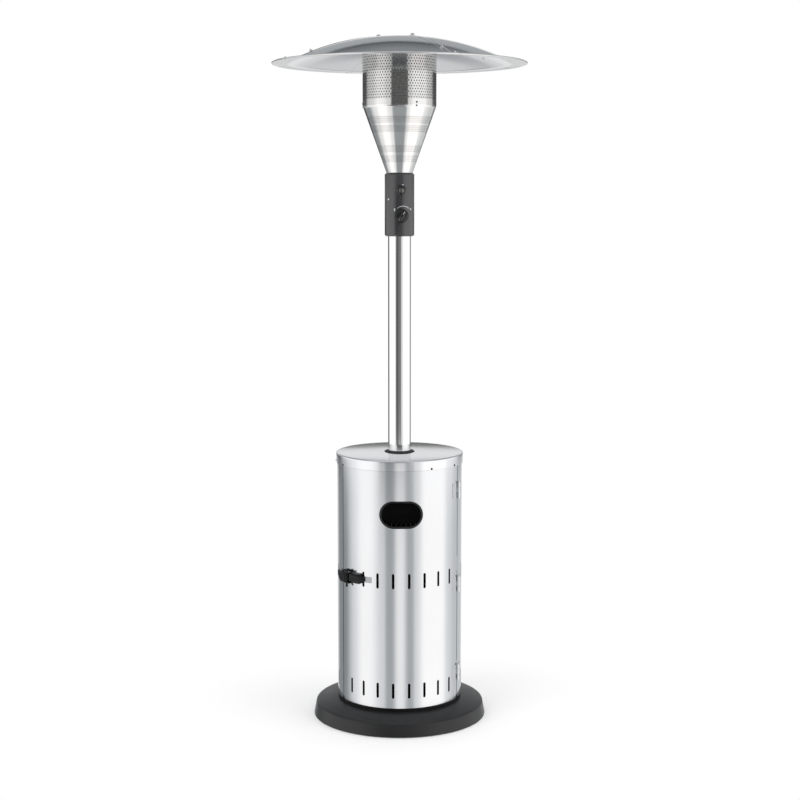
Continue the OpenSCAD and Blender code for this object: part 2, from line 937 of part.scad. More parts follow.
// Raised round cup that the knob's skirt sinks into
module dial_plate() {
  color(dark)
    control_place(knob_z)
      difference() {
        union() {
          difference() {
            bar_x(dial_d / 2, control_in - 20, dial_face);
            cylinder(r = control_r, h = 2 * dial_d, center = true);
          }
          bar_x(dial_boss_r - slip_gap, control_in - 2, dial_floor);
        }
        bar_x(knob_d / 2 + move_gap, dial_floor, dial_face + 1);
        bar_x(stem_r + 5, 0, dial_face);
      }
}

module gas_knob() {
  grip_w = 13;
  color(dark)
    control_place(knob_z)
      rotate([-knob_pointer, 0, 0])
        difference() {
          union() {
            bar_x(knob_d / 2, knob_back, knob_face);
            intersection() {
              bar_x(knob_d / 2 - 1, knob_face - 1, knob_tip);
              translate([knob_face - 1, -grip_w / 2, -knob_d])
                cube([knob_tip - knob_face + 1, grip_w, 2 * knob_d]);
              translate([knob_tip - knob_d * 1.3, 0, 0]) rotate([90, 0, 0])
                cylinder(r = knob_d * 1.3, h = 100, center = true);
            }
          }
          translate([knob_tip - 1, -1, knob_d / 4]) cube([5, 2, knob_d]);
          bar_x(stem_r + pin_gap, knob_back - 1, knob_face - 2);
        }
}

module valve_stem() {
  color(brass)
    control_place(knob_z)
      bar_x(stem_r, stem_end, knob_face - 2);
}

// Collar that is pushed in with the stem against the valve's spring
module push_collar() {
  color(brass)
    control_place(knob_z)
      difference() {
        bar_x(stem_r + 4, collar_back, collar_back + 3);
        bar_x(stem_r + pin_gap, 0, control_r);
      }
}

valve_low = bracket_top;
valve_high = knob_z + 48;

module valve_body() {
  color(brass)
    difference() {
      union() {
        control_place(knob_z) bar_x(13, -16, valve_nose);
        post_between(12, valve_low, valve_high);
        translate([0, 0, valve_low]) cylinder(r = 15, h = 10, $fn = 6);
      }
      control_place(knob_z) bar_x(stem_r + pin_gap, valve_bore_end, control_r);
    }
}

// Disc on the post's end with a tab that the control housing is screwed to
module valve_bracket() {
  tab_w = 12;
  tab_face = control_in - 1;
  color(grey)
    difference() {
      union() {
        post_between(post_r - 0.5, post_top, bracket_top);
        facing(control_screw_turn) {
          translate([post_r - 8, -tab_w / 2, post_top]) cube([tab_face - post_r + 8, tab_w, bracket_t]);
          translate([tab_face - bracket_t, -tab_w / 2, post_top])
            cube([bracket_t, tab_w, control_bottom + control_screw_up + 10 - post_top]);
        }
      }
      post_between(pipe_r + hole_gap, 0, control_top);
      control_screw_place() bar_x(control_screw_r + hole_gap, 0, control_r);
    }
}

// Small upright box that cuts the gas when the heater tips over
module tilt_switch() {
  color(grey)
    control_place(bracket_top)
      translate([-34, -10, 0]) {
        cube([15, 20, 26]);
        translate([7.5, 10, 0]) cylinder(r = 5, h = 31);
      }
}

module ignition_bezel() {
  color(dark)
    control_place(button_z)
      difference() {
        union() {
          difference() {
            bar_x(bezel_d / 2, control_in - 15, bezel_face);
            cylinder(r = control_r, h = 2 * bezel_d, center = true);
          }
          bar_x(bezel_sleeve_r, igniter_front, bezel_face);
        }
        bar_x(bezel_bore_r, 0, bezel_face + 1);
      }
}

module ignition_button() {
  edge = 2.5;
  color(grey)
    control_place(button_z)
      rotate([0, 90, 0])
        rotate_extrude()
          intersection() {
            rounded_half(button_d / 2, button_back, button_front, edge);
            square([button_d, button_front + 1]);
          }
}

module igniter_body() {
  color(dark)
    control_place(button_z) {
      bar_x(bezel_sleeve_r, mixer_r + 5, igniter_front);
      bar_x(5, mixer_r + 2, mixer_r + 6);
    }
}

// Burner

jet_top = valve_high + 16;

module gas_jet() {
  color(brass)
    difference() {
      union() {
        translate([0, 0, valve_high]) cylinder(r = 8, h = 8, $fn = 6);
        post_between(5, valve_high, jet_top);
      }
      post_between(1, valve_high - 1, jet_top + 1);
    }
}

// Tube that draws air in round the jet and carries the mixture to the burner
mixer_r = 13.5;
burner_plate_z = cone_top + 10;

module mixing_tube() {
  wall = 1.5;
  throat = mixer_r - wall;
  low = valve_high + 8;
  high = burner_plate_z;
  color(grey)
    difference() {
      union() {
        post_between(mixer_r, low, high);
        translate([0, 0, high - 40]) cylinder(r1 = mixer_r, r2 = mixer_r + 16.5, h = 40);
      }
      translate([0, 0, high - 40]) cylinder(r1 = throat, r2 = throat + 16.5, h = 40.01);
      post_between(throat, low + 2, high);
      post_between(5 + slip_gap, 0, low + 5);
      for (i = [0:3])
        rotate([0, 0, 45 + i * 90])
          translate([0, 0, jet_top + 12]) bar_x(6, 0, 40);
    }
}

// Rows of round holes round a cone or drum, each row turned half a pitch
module hole_row(count, row, r, z, d, tilt) {
  for (i = [0:count - 1])
    rotate([0, 0, (i + (row % 2) / 2) * 360 / count])
      translate([r, 0, z])
        rotate([0, 90 + tilt, 0])
          cylinder(d = d, h = 14, center = true, $fn = 24);
}

// Places of the perforated bands, as heights above the cone's foot
band_feet = [44, 75, 137, 165];
band_rows = 2;
band_row_pitch = 11;

module burner_cone() {
  lean = atan2(cone_top_r - cone_low_r, cone_h);
  color(steel)
    difference() {
      rotate_extrude()
        polygon([
          [cone_low_r, cone_bottom], [cone_top_r, cone_top], [collar_r, cone_top + 1.5],
          [collar_r, cone_top + 22], [collar_r - burner_sheet, cone_top + 22],
          [collar_r - burner_sheet, cone_top + 1.5], [cone_top_r - burner_sheet, cone_top],
          [cone_low_r - burner_sheet, cone_bottom]
        ]);
      for (foot = band_feet)
        for (row = [0:band_rows - 1]) {
          z = cone_bottom + foot + (row + 0.5) * band_row_pitch;
          hole_row(cone_holes, row, cone_r_at(z), z, cone_hole_d, lean);
        }
      screen_screw_places() bar_x(screen_screw_r + hole_gap, -8, 8);
    }
}

// Flat burner head with its flame ports
module burner_plate() {
  ports = 12;
  color(grey)
    difference() {
      post_between(collar_r - burner_sheet - slip_gap, burner_plate_z, burner_plate_z + 2);
      for (ring_i = [1:3])
        for (i = [0:ports * ring_i / 3 - 1])
          facing(i * 360 / (ports * ring_i / 3))
            translate([ring_i * 24, 0, cone_top]) cylinder(r = 4, h = 20);
    }
}

module pilot_electrode() {
  color("white")
    facing(40)
      translate([cone_top_r - 19, 0, burner_plate_z + 2]) {
        cylinder(r = 4, h = 30);
        cylinder(r = 1.2, h = 48);
      }
}

screen_screw_turns = [26, 146, 266];
screen_screw_r = 1.8;

// Pairs of screws: the lower on the cone's collar, the upper on the screen
module screen_screw_places() {
  for (turn = screen_screw_turns)
    facing(turn) {
      translate([collar_r, 0, cone_top + 4.5]) children();
      translate([screen_r, 0, cone_top + 15]) children();
    }
}

module burner_screen() {
  first = screen_bottom + screen_plain + screen_hole_d / 2;
  last = screen_top - 6 - screen_hole_d / 2;
  row_pitch = (last - first) / (screen_rows - 1);
  color(steel)
    difference() {
      ring(screen_r, screen_r - burner_sheet, screen_bottom, screen_top);
      for (row = [0:screen_rows - 1])
        hole_row(screen_holes, row, screen_r, first + row_pitch * row, screen_hole_d, 0);
      screen_screw_places() bar_x(screen_screw_r + hole_gap, -8, 8);
    }
}

module screen_screws() {
  color(steel)
    screen_screw_places() radial_screw(0, 6, 1.8, screen_screw_r, 7);
}

module screen_cap() {
  color(steel)
    difference() {
      post_between(screen_r, screen_top, screen_top + cap_t);
      stud_places() post_between(stud_r + hole_gap, 0, apex_z);
    }
}

// Reflector

panel_count = 4;
stud_r = 3;
sleeve_r = 7;
lap_screw_r = 2.2;
crown_plate_t = 1.5;
crown_plate_r = stud_ring_r + 34;
lap_gap = 0.1;
crown_hole_r = 30;
crown_in = sphere_r - reflector_sheet - lap_gap - crown_plate_t;

module stud_places() {
  for (i = [0:2])
    facing(stud_turn + i * 120) translate([stud_ring_r, 0, 0]) children();
}

module reflector_studs() {
  color(steel)
    stud_places() {
      post_between(stud_r, screen_top - 6, apex_z + 5);
      post_between(sleeve_r, screen_top + cap_t, dome_z(stud_ring_r + sleeve_r, crown_in) - 0.1);
      post_between(sleeve_r, screen_top - 6, screen_top);
    }
}

// Half profile of a thin dome about the reflector's centre
module dome_half(ball_r, t, r_a, r_b) {
  translate([0, sphere_z])
    intersection() {
      difference() {
        circle(r = ball_r, $fn = 720);
        circle(r = ball_r - t, $fn = 720);
      }
      translate([r_a, 0]) square([r_b - r_a, ball_r + 1]);
    }
}

module crown_plate() {
  color(steel)
    difference() {
      rotate_extrude() dome_half(sphere_r - reflector_sheet - lap_gap, crown_plate_t, 0, crown_plate_r);
      stud_places() post_between(stud_r + slip_gap, 0, apex_z + 50);
    }
}

// Puts a shape on the dome's outer face, upright on the face, at a distance and offset from a seam
module on_dome(turn, r, side) {
  facing(turn)
    translate([0, 0, sphere_z])
      rotate([0, asin(r / sphere_r), 0])
        rotate([asin(-side / sphere_r), 0, 0])
          translate([0, 0, sphere_r]) children();
}

// Seam screws: the inner one on the dome, the outer one on the brim
module lap_screw_places(turn) {
  on_dome(turn, reflector_r - lap_screw_in, -lap_w / 2) children();
  facing(turn)
    translate([reflector_r - lap_screw_out, -lap_w / 2, brim_face]) children();
}

// Half profile of a panel: dome, level brim and rolled hem
module panel_half() {
  hem_r = 2.2;
  dome_half(sphere_r, reflector_sheet, crown_hole_r, dome_r);
  translate([dome_r - 1, brim_face - reflector_sheet]) square([brim_w - hem_r + 1, reflector_sheet]);
  translate([reflector_r - hem_r, rim_z]) circle(r = hem_r);
}

// One panel, with laps along its first seam that lie over the panel before it
module reflector_panel(i) {
  span = 360 / panel_count;
  turn = panel_turn + i * span;
  lap_ball_r = sphere_r + lap_gap + reflector_sheet;
  lap_end_r = dome_r - 6;
  lap_l = brim_w - 13;
  color(grey)
    difference() {
      union() {
        facing(turn) rotate_extrude(angle = span - 0.06) panel_half();
        facing(turn)
          intersection() {
            rotate_extrude() dome_half(lap_ball_r, reflector_sheet, crown_plate_r, lap_end_r);
            translate([0, -lap_w, rim_z]) cube([reflector_r, lap_w + 2, 2 * reflector_rise]);
          }
        facing(turn)
          intersection() {
            rotate_extrude() dome_half(lap_ball_r, 2 * reflector_sheet, crown_plate_r, lap_end_r);
            translate([0, 0.5, rim_z]) cube([reflector_r, 1.5, 2 * reflector_rise]);
          }
        facing(turn)
          translate([dome_r + 5, 0, 0]) {
            translate([0, -lap_w, brim_face + lap_gap]) cube([lap_l, lap_w + 2, reflector_sheet]);
            translate([0, 0.5, rim_z]) cube([lap_l, 1.5, 1.5 * reflector_sheet + lap_gap]);
          }
      }
      lap_screw_places(turn) cylinder(r = lap_screw_r + slip_gap, h = 30, center = true);
      lap_screw_places(turn + span) cylinder(r = lap_screw_r + slip_gap, h = 30, center = true);
      stud_places() post_between(stud_r + slip_gap, 0, apex_z + 50);
    }
}

module reflector_panel_1() { reflector_panel(0); }
module reflector_panel_2() { reflector_panel(1); }
module reflector_panel_3() { reflector_panel(2); }
module reflector_panel_4() { reflector_panel(3); }

// Bolts with a round head under the reflector and a nut on top
module reflector_screws() {
  top = lap_gap + reflector_sheet + 0.05;
  under = reflector_sheet + 0.05;
  color(steel)
    for (i = [0:panel_count - 1])
      lap_screw_places(panel_turn + i * 360 / panel_count) {
        translate([0, 0, -under - 2.6]) cylinder(r = 4.5, h = 2.6);
        translate([0, 0, -under - 1]) cylinder(r = lap_screw_r, h = under + top + 8.5);
        translate([0, 0, top]) cylinder(r = 5, h = 4, $fn = 6);
      }
}

module crown_nuts() {
  z = dome_z(stud_ring_r - 8, sphere_r) + 0.05;
  color(steel)
    stud_places() {
      difference() {
        union() {
          translate([0, 0, z]) cylinder(r = 8, h = 1.5);
          translate([0, 0, z + 1.5]) cylinder(r = 6, h = 5, $fn = 6);
        }
        post_between(stud_r + pin_gap, 0, apex_z + 50);
      }
    }
}

base_cover();
bottom_plate();
ballast_disc();
rubber_feet();
bottle_platform();
support_leg_left();
support_leg_right();
support_leg_rear();
top_plate();
top_band();
post_socket();
socket_bolts();
post();
gas_pipe();
hose_nipple();
rear_shell();
shell_screws();
lid();
lid_screws();
post_grommet();
door();
grip_insert();
door_hinge_leaves();
shell_hinge_leaves();
hinge_pins();
hinge_rivets_door();
hinge_rivets_shell();
latch_plate();
latch_base();
latch_pin();
latch_lever();
latch_keeper();
control_housing();
control_screw();
dial_plate();
gas_knob();
valve_stem();
push_collar();
valve_body();
valve_bracket();
tilt_switch();
ignition_bezel();
ignition_button();
igniter_body();
gas_jet();
mixing_tube();
burner_cone();
burner_plate();
pilot_electrode();
burner_screen();
screen_screws();
screen_cap();
reflector_studs();
crown_plate();
reflector_panel_1();
reflector_panel_2();
reflector_panel_3();
reflector_panel_4();
reflector_screws();
crown_nuts();
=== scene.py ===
import bpy
import bmesh
import json
import math
from mathutils import Matrix, Vector


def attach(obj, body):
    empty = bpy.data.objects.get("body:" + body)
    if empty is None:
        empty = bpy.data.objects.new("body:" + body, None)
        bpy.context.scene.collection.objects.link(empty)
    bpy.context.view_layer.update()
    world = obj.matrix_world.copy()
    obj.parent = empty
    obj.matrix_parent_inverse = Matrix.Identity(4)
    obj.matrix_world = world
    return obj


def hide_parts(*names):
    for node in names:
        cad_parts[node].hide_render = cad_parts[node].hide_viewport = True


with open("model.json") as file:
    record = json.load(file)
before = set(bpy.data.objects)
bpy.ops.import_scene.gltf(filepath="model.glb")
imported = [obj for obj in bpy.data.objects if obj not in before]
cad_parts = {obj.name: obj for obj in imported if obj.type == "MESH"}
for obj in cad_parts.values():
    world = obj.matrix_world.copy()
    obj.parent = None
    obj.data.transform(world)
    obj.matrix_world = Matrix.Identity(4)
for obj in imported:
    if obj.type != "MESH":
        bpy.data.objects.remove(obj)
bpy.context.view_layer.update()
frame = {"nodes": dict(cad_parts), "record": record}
nodes = frame["nodes"]
scene = bpy.context.scene
print("frame loaded:", len(nodes), "CAD nodes")


# a wire carries one socket and does sums; a board makes every other node

class Wire:
    def __init__(self, board, socket):
        self.board = board
        self.socket = socket

    def __add__(self, other):
        return self.board.maths("ADD", self, other)

    def __radd__(self, other):
        return self.board.maths("ADD", other, self)

    def __sub__(self, other):
        return self.board.maths("SUBTRACT", self, other)

    def __rsub__(self, other):
        return self.board.maths("SUBTRACT", other, self)

    def __mul__(self, other):
        return self.board.maths("MULTIPLY", self, other)

    def __rmul__(self, other):
        return self.board.maths("MULTIPLY", other, self)

    def __truediv__(self, other):
        return self.board.maths("DIVIDE", self, other)

    def __rtruediv__(self, other):
        return self.board.maths("DIVIDE", other, self)

    def __mod__(self, other):
        return self.board.maths("FLOORED_MODULO", self, other)

    def __rmod__(self, other):
        return self.board.maths("FLOORED_MODULO", other, self)

    def __abs__(self):
        return self.board.maths("ABSOLUTE", self)

    def __gt__(self, other):
        return self.board.maths("GREATER_THAN", self, other)

    def __lt__(self, other):
        return self.board.maths("LESS_THAN", self, other)


class Board:
    def __init__(self, tree):
        self.tree = tree
        tree.nodes.clear()

    def feed(self, socket, value):
        if isinstance(value, Wire):
            value = value.socket
        if isinstance(value, bpy.types.NodeSocket):
            self.tree.links.new(value, socket)
        else:
            socket.default_value = value

    def node(self, kind, settings=None, sockets=None):
        made = self.tree.nodes.new(kind)
        for key, value in (settings or {}).items():  # settings first, they can change the sockets
            setattr(made, key, value)
        for key, value in (sockets or {}).items():
            self.feed(made.inputs[key], value)
        return made

    def wire(self, kind, settings=None, sockets=None, out=0):
        return Wire(self, self.node(kind, settings, sockets).outputs[out])

    def maths(self, operation, *values):
        return self.wire("ShaderNodeMath", {"operation": operation}, dict(enumerate(values)))

    def smooth(self, value, low, high, start=0.0, end=1.0):  # soft step from start to end
        return self.wire("ShaderNodeMapRange", {"interpolation_type": "SMOOTHSTEP"},
                         {0: value, 1: low, 2: high, 3: start, 4: end})

    def mixColour(self, share, first, second):
        return self.wire("ShaderNodeMix", {"data_type": "RGBA"}, {0: share, 6: first, 7: second}, 2)

    def vector(self, x, y, z):
        return self.wire("ShaderNodeCombineXYZ", None, {0: x, 1: y, 2: z})

    def parts(self, vector):
        made = self.node("ShaderNodeSeparateXYZ", None, {0: vector})
        return [Wire(self, made.outputs[i]) for i in range(3)]

    def axisDistance(self, x, y):
        return self.maths("SQRT", x * x + y * y)

    def turnOf(self, x, y):  # degrees from the front towards +X
        return self.maths("ARCTAN2", x, 0.0 - y) * math.degrees(1)


# finishes

class Finish(Board):
    def __init__(self, name, settings):
        self.material = bpy.data.materials.new(name)
        self.material.use_nodes = True
        super().__init__(self.material.node_tree)
        self.shader = self.node("ShaderNodeBsdfPrincipled")
        self.node("ShaderNodeOutputMaterial", None, {"Surface": self.shader.outputs[0]})
        self.place = Wire(self, self.node("ShaderNodeTexCoord").outputs["Object"])
        for key, value in settings.items():
            self.feed(self.shader.inputs[key], value)

    def grain(self, stretch, detail=3.0, roughness=0.55):  # noise with its own scale along x, y and z
        drawn = self.wire("ShaderNodeVectorMath", {"operation": "MULTIPLY"}, {0: self.place, 1: stretch})
        return self.wire("ShaderNodeTexNoise", None,
                         {"Vector": drawn, "Scale": 1.0, "Detail": detail, "Roughness": roughness})

    def give(self, socket, value):
        self.feed(self.shader.inputs[socket], value)

    def bump(self, height, strength, distance):
        self.give("Normal", self.wire("ShaderNodeBump", None,
                                      {"Strength": strength, "Distance": distance, "Height": height}))


# tone, roughness and soft edge of the painted shade on the back of a sheet
sheetBackShade = {"tone": [0.27, 0.27, 0.265, 1.0], "rough": 0.55, "soft": 0.00005, "edgeHalf": (0.9, 1.1)}


def metalFinish(name, colour, rough, brush, brushShare, smudge=0.05, bump=0.02, tint=0.06,
                paintedShadeWithin=None, unshadedSeamTurn=None):
    made = Finish(name, {"Metallic": 1.0})
    fine = made.grain(brush, 2.0)
    cloud = made.grain((5.0, 5.0, 3.0), 4.0)
    shade = [c * (1 - tint) for c in colour] + [1.0]
    face = made.mixColour(made.smooth(cloud * 0.6 + fine * 0.4, 0.3, 0.7), shade, [*colour, 1.0])
    polish = rough + (fine - 0.5) * brushShare + (cloud - 0.5) * smudge
    if paintedShadeWithin:  # painted shade: the back of the sheet, nearer the axis than this, is painted dark and dull, so the slot walls read as shaded; it also stands for the sheet's dull inner side
        s = sheetBackShade
        x, y, _ = made.parts(made.place)
        start, end = paintedShadeWithin - s["soft"], paintedShadeWithin + s["soft"]
        inside = made.smooth(made.axisDistance(x, y), start, end, 1.0, 0.0)
        if unshadedSeamTurn:  # but the painted shade is left off the folded edges beside the seams
            inside = inside * made.smooth(abs(abs(made.turnOf(x, y)) - unshadedSeamTurn), *s["edgeHalf"])
        face = made.mixColour(inside, face, s["tone"])
        polish = polish + inside * (s["rough"] - polish)
    made.give("Base Color", face)
    made.give("Roughness", polish)
    if bump:
        made.bump(fine, bump, 0.0004)
    return made.material


def plasticFinish(name, colour, rough, grainSize=900.0, bump=0.12, variation=0.25, coat=0.0, gloss=0.5,
                  coatBeyond=None):
    made = Finish(name, {"Coat Weight": coat, "Coat Roughness": 0.12, "Specular IOR Level": gloss})
    fine = made.grain((grainSize,) * 3, 2.0)
    cloud = made.grain((14.0,) * 3, 4.0)
    pale = [c * (1 + variation) for c in colour] + [1.0]
    made.give("Base Color", made.mixColour(made.smooth(cloud, 0.35, 0.7), [*colour, 1.0], pale))
    made.give("Roughness", rough + (cloud - 0.5) * 0.12 + (fine - 0.5) * 0.08)
    made.bump(fine, bump, 0.0003)
    if coatBeyond:  # gloss only on what lies further than this from the upright axis
        x, y, _ = made.parts(made.place)
        made.give("Coat Weight", made.smooth(made.axisDistance(x, y), coatBeyond, coatBeyond + 0.004))
    return made.material


housingTone, housingBrush = (0.724, 0.738, 0.75), (900.0, 900.0, 9.0)  # fine lines that run up the sheet
burnerBrush = (600.0, 600.0, 20.0)
finishes = {
    "housing_steel": metalFinish("satinSteel", housingTone, 0.16, housingBrush, 0.06, bump=0.03),
    "lid_steel": metalFinish("lidSteel", (0.775, 0.787, 0.80), 0.12, (420.0,) * 3, 0.05),
    "post_steel": metalFinish("polishedSteel", (0.86,) * 3, 0.07, (700.0, 700.0, 6.0), 0.03, bump=0.01),
    "burner_steel": metalFinish("burnerSteel", (0.84, 0.835, 0.82), 0.13, burnerBrush, 0.06),
    "reflector_aluminium": metalFinish("domeAluminium", (0.73,) * 3, 0.12, (160.0,) * 3, 0.05),
    "screw_steel": metalFinish("zincPlate", (0.72, 0.72, 0.71), 0.22, (500.0,) * 3, 0.10),
    "inner_steel": metalFinish("greyZinc", (0.46, 0.46, 0.47), 0.42, (120.0,) * 3, 0.14, tint=0.25),
    "brass": metalFinish("brassFitting", (0.72, 0.55, 0.26), 0.26, (300.0,) * 3, 0.10, tint=0.2),
    "button_grey": metalFinish("buttonGrey", (0.15, 0.145, 0.14), 0.10, (500.0,) * 3, 0.05),
    "base_black": plasticFinish("basePowderCoat", (0.012, 0.012, 0.0125), 0.32, 700.0, 0.12, gloss=0.40),
    "control_black": plasticFinish("controlCharcoal", (0.019, 0.019, 0.0215), 0.22, 1100.0, 0.08, gloss=1.0),
    "latch_black": plasticFinish("latchGloss", (0.004, 0.004, 0.0045), 0.26, 600.0, 0.02,
                                 coat=0.22, gloss=0.12),
    "grip_black": plasticFinish("gripBlack", (0.0012, 0.0011, 0.0011), 0.34, 900.0, 0.06,
                                gloss=0.06, coatBeyond=0.194),
    "rubber_black": plasticFinish("rubberBlack", (0.012,) * 3, 0.60, 800.0, 0.20),
    "ceramic_white": plasticFinish("ceramicWhite", (0.62, 0.61, 0.57), 0.20, 400.0, 0.03, 0.12, coat=0.5),
}
# both sheets get painted shade on their back faces, nearer the axis than the given radius
sheetSteel = metalFinish("housingSheet", housingTone, 0.16, housingBrush, 0.06, bump=0.03,
                         paintedShadeWithin=0.2030, unshadedSeamTurn=64.8)
screenSteel = metalFinish("screenSheet", (0.72, 0.715, 0.705), 0.10, burnerBrush, 0.05, paintedShadeWithin=0.1168)
knobGloss = plasticFinish("knobGloss", (0.004, 0.004, 0.0045), 0.18, 900.0, 0.02, coat=0.6)
printFinish = plasticFinish("printedMark", (0.55, 0.56, 0.58), 0.45, 900.0, 0.04, 0.10)
# painted shade: the latch plate is steel toned darker grey, standing in for the latch's shadow and reflection
# beside the slot
plateSteel = metalFinish("plateSteel", (0.40, 0.41, 0.42), 0.34, (300.0,) * 3, 0.08)
blackSteel = metalFinish("blackenedSteel", (0.035, 0.035, 0.037), 0.36, (400.0,) * 3, 0.10)
# painted shade: the bottle platform is black, and made darker still so that the gap under the housing and the
# view through the slots read as shadow
platformBlack = plasticFinish("platformBlack", (0.004,) * 3, 0.5, 700.0, 0.10, gloss=0.2)
for entry in frame["record"]["subparts"]:  # every CAD node starts with the finish of its slot
    for slot in nodes[entry["node"]].material_slots:
        slot.material = finishes[entry["material_slot"]]
# the latch plate and the bottle platform get the finishes with painted shade
nodes["latch_plate"].material_slots[0].material = plateSteel
nodes["latch_pin"].material_slots[0].material = blackSteel
nodes["bottle_platform"].material_slots[0].material = platformBlack
print("finishes made:", len(finishes))


# mesh helpers: metres, turn is an angle in degrees from the front towards +X

def spot(turn, r, z):
    a = math.radians(turn)
    return Vector((r * math.sin(a), -r * math.cos(a), z))


def spread(a, b, steps):
    return [a + (b - a) * i / steps for i in range(steps + 1)]


def arcPoints(centre, r, startDeg, endDeg, steps):
    return [(centre[0] + r * math.cos(math.radians(a)), centre[1] + r * math.sin(math.radians(a)))
            for a in spread(startDeg, endDeg, steps)]


def softCorners(points, steps=4):  # closed outline; a third number is the rounding at that corner
    made, count = [], len(points)
    for i, (x, y, size) in enumerate(points):
        if size <= 0:
            made.append((x, y))
            continue
        here = Vector((x, y))
        a, b = Vector(points[i - 1][:2]) - here, Vector(points[(i + 1) % count][:2]) - here
        reach = min(size, a.length * 0.45, b.length * 0.45)
        a, b = here + a.normalized() * reach, here + b.normalized() * reach
        made.extend(tuple(a * (1 - t) ** 2 + here * 2 * t * (1 - t) + b * t * t) for t in spread(0, 1, steps))
    return made


def cleanRing(ring):
    return [v for n, v in enumerate(ring) if v not in ring[:n]]


def turned(outline, count=128):  # closed outline of (r, z) turned about the upright axis
    points, faces, columns = [], [], []
    for r, z in outline:
        if r < 1e-6:
            columns.append([len(points)] * count)
            points.append(Vector((0, 0, z)))
        else:
            columns.append(list(range(len(points), len(points) + count)))
            points.extend(spot(360 * i / count, r, z) for i in range(count))
    for k, low in enumerate(columns):
        high = columns[(k + 1) % len(columns)]
        for i in range(count):
            j = (i + 1) % count
            ring = cleanRing([low[i], low[j], high[j], high[i]])
            if len(ring) > 2:
                faces.append(ring)
    return points, faces


def swept(outline, turnA, turnB, steps):  # closed outline of (r, z) swept part of a turn, both ends closed
    n = len(outline)
    points = [spot(t, r, z) for t in spread(turnA, turnB, steps) for r, z in outline]
    faces = [[i * n + k, (i + 1) * n + k, (i + 1) * n + (k + 1) % n, i * n + (k + 1) % n]
             for i in range(steps) for k in range(n)]
    for start in (0, steps * n):
        for k in range((n - 1) // 2):
            ring = cleanRing([k, k + 1, n - 2 - k, n - 1 - k])
            if len(ring) > 2:
                faces.append([start + v for v in ring])
    return points, faces


def lofted(rings):  # closed skin through rings of equal length, with both ends capped
    count, last = len(rings[0]), len(rings) - 1
    faces = []
    for start in range(0, last * count, count):
        for i in range(count):
            j = (i + 1) % count
            faces.append([start + i, start + j, start + count + j, start + count + i])
    faces += [list(range(count)), list(range(last * count, (last + 1) * count))]
    return [p for ring in rings for p in ring], faces


def tubeOutline(r, wall, low, high):
    return [(r, low), (r, high), (r - wall, high), (r - wall, low)]


def joined(*shapes):
    points, faces = [], []
    for p, f in shapes:
        start = len(points)
        points.extend(p)
        faces.extend([[v + start for v in ring] for ring in f])
    return points, faces


def moved(shape, matrix):
    return [matrix @ Vector(p) for p in shape[0]], shape[1]


def shapeOf(mesh):
    shape = [v.co.copy() for v in mesh.vertices], [list(p.vertices) for p in mesh.polygons]
    bpy.data.meshes.remove(mesh)
    return shape


def aimed(turn, z):  # puts a shape that was turned about Z on an axis pointing out of the wall at a turn
    return (Matrix.Translation((0, 0, z)) @ Matrix.Rotation(math.radians(turn), 4, "Z")
            @ Matrix.Rotation(math.radians(90), 4, "X"))


def block(low, high):  # box between two corners
    x, y, z = zip(low, high)
    points = [Vector((x[i & 1], y[i >> 1 & 1], z[i >> 2 & 1])) for i in range(8)]
    return points, [[0, 2, 3, 1], [4, 5, 7, 6], [0, 1, 5, 4], [2, 6, 7, 3], [0, 4, 6, 2], [1, 3, 7, 5]]


def openMesh(name, shape):  # a mesh and its editable copy, with doubles merged
    mesh = bpy.data.meshes.new(name)
    mesh.from_pydata([tuple(p) for p in shape[0]], [], shape[1])
    made = bmesh.new()
    made.from_mesh(mesh)
    bmesh.ops.remove_doubles(made, verts=made.verts, dist=1e-7)
    return mesh, made


def closeMesh(mesh, made):
    made.to_mesh(mesh)
    made.free()


def bevelled(shape, width, segments=2, sharp=32.0):
    mesh, made = openMesh("bevelled", shape)
    bmesh.ops.recalc_face_normals(made, faces=made.faces)
    edges = [e for e in made.edges if e.is_manifold and e.calc_face_angle() > math.radians(sharp)]
    bmesh.ops.bevel(made, geom=edges, offset=width, segments=segments, profile=0.6, affect="EDGES",
                    clamp_overlap=True)
    closeMesh(mesh, made)
    return shapeOf(mesh)


def makePiece(name, shape, finish, body, replaces=(), sharp=32.0):
    mesh, made = openMesh(name, shape)
    bmesh.ops.dissolve_degenerate(made, edges=made.edges, dist=1e-8)
    bmesh.ops.recalc_face_normals(made, faces=made.faces)
    closeMesh(mesh, made)
    mesh.materials.append(finish)
    mesh.shade_smooth()
    mesh.set_sharp_from_angle(angle=math.radians(sharp))
    piece = bpy.data.objects.new(name, mesh)
    scene.collection.objects.link(piece)
    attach(piece, body)
    if replaces:
        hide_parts(*replaces)


# sheets: a flat net of two numbers per point that is laid on a wall and given its thickness

class Sheet:
    def __init__(self):
        self.points, self.index, self.faces = [], {}, []

    def point(self, turn, z):
        key = (round(turn, 6), round(z, 7))
        if key not in self.index:
            self.index[key] = len(self.points)
            self.points.append(key)
        return self.index[key]

    def face(self, *places):
        self.faces.append([self.point(*p) for p in places])

    def block(self, turns, heights):
        for a, b in zip(turns, turns[1:]):
            for low, high in zip(heights, heights[1:]):
                self.face((a, low), (b, low), (b, high), (a, high))

    def rings(self, *rings):
        for outer, inner in zip(rings, rings[1:]):
            for i in range(len(outer)):
                j = (i + 1) % len(outer)
                self.face(outer[i], outer[j], inner[j], inner[i])

    def thick(self, outside, inside):  # outside and inside place a flat point on the two faces of the wall
        return walled([outside(*p) for p in self.points], [inside(*p) for p in self.points], self.faces)


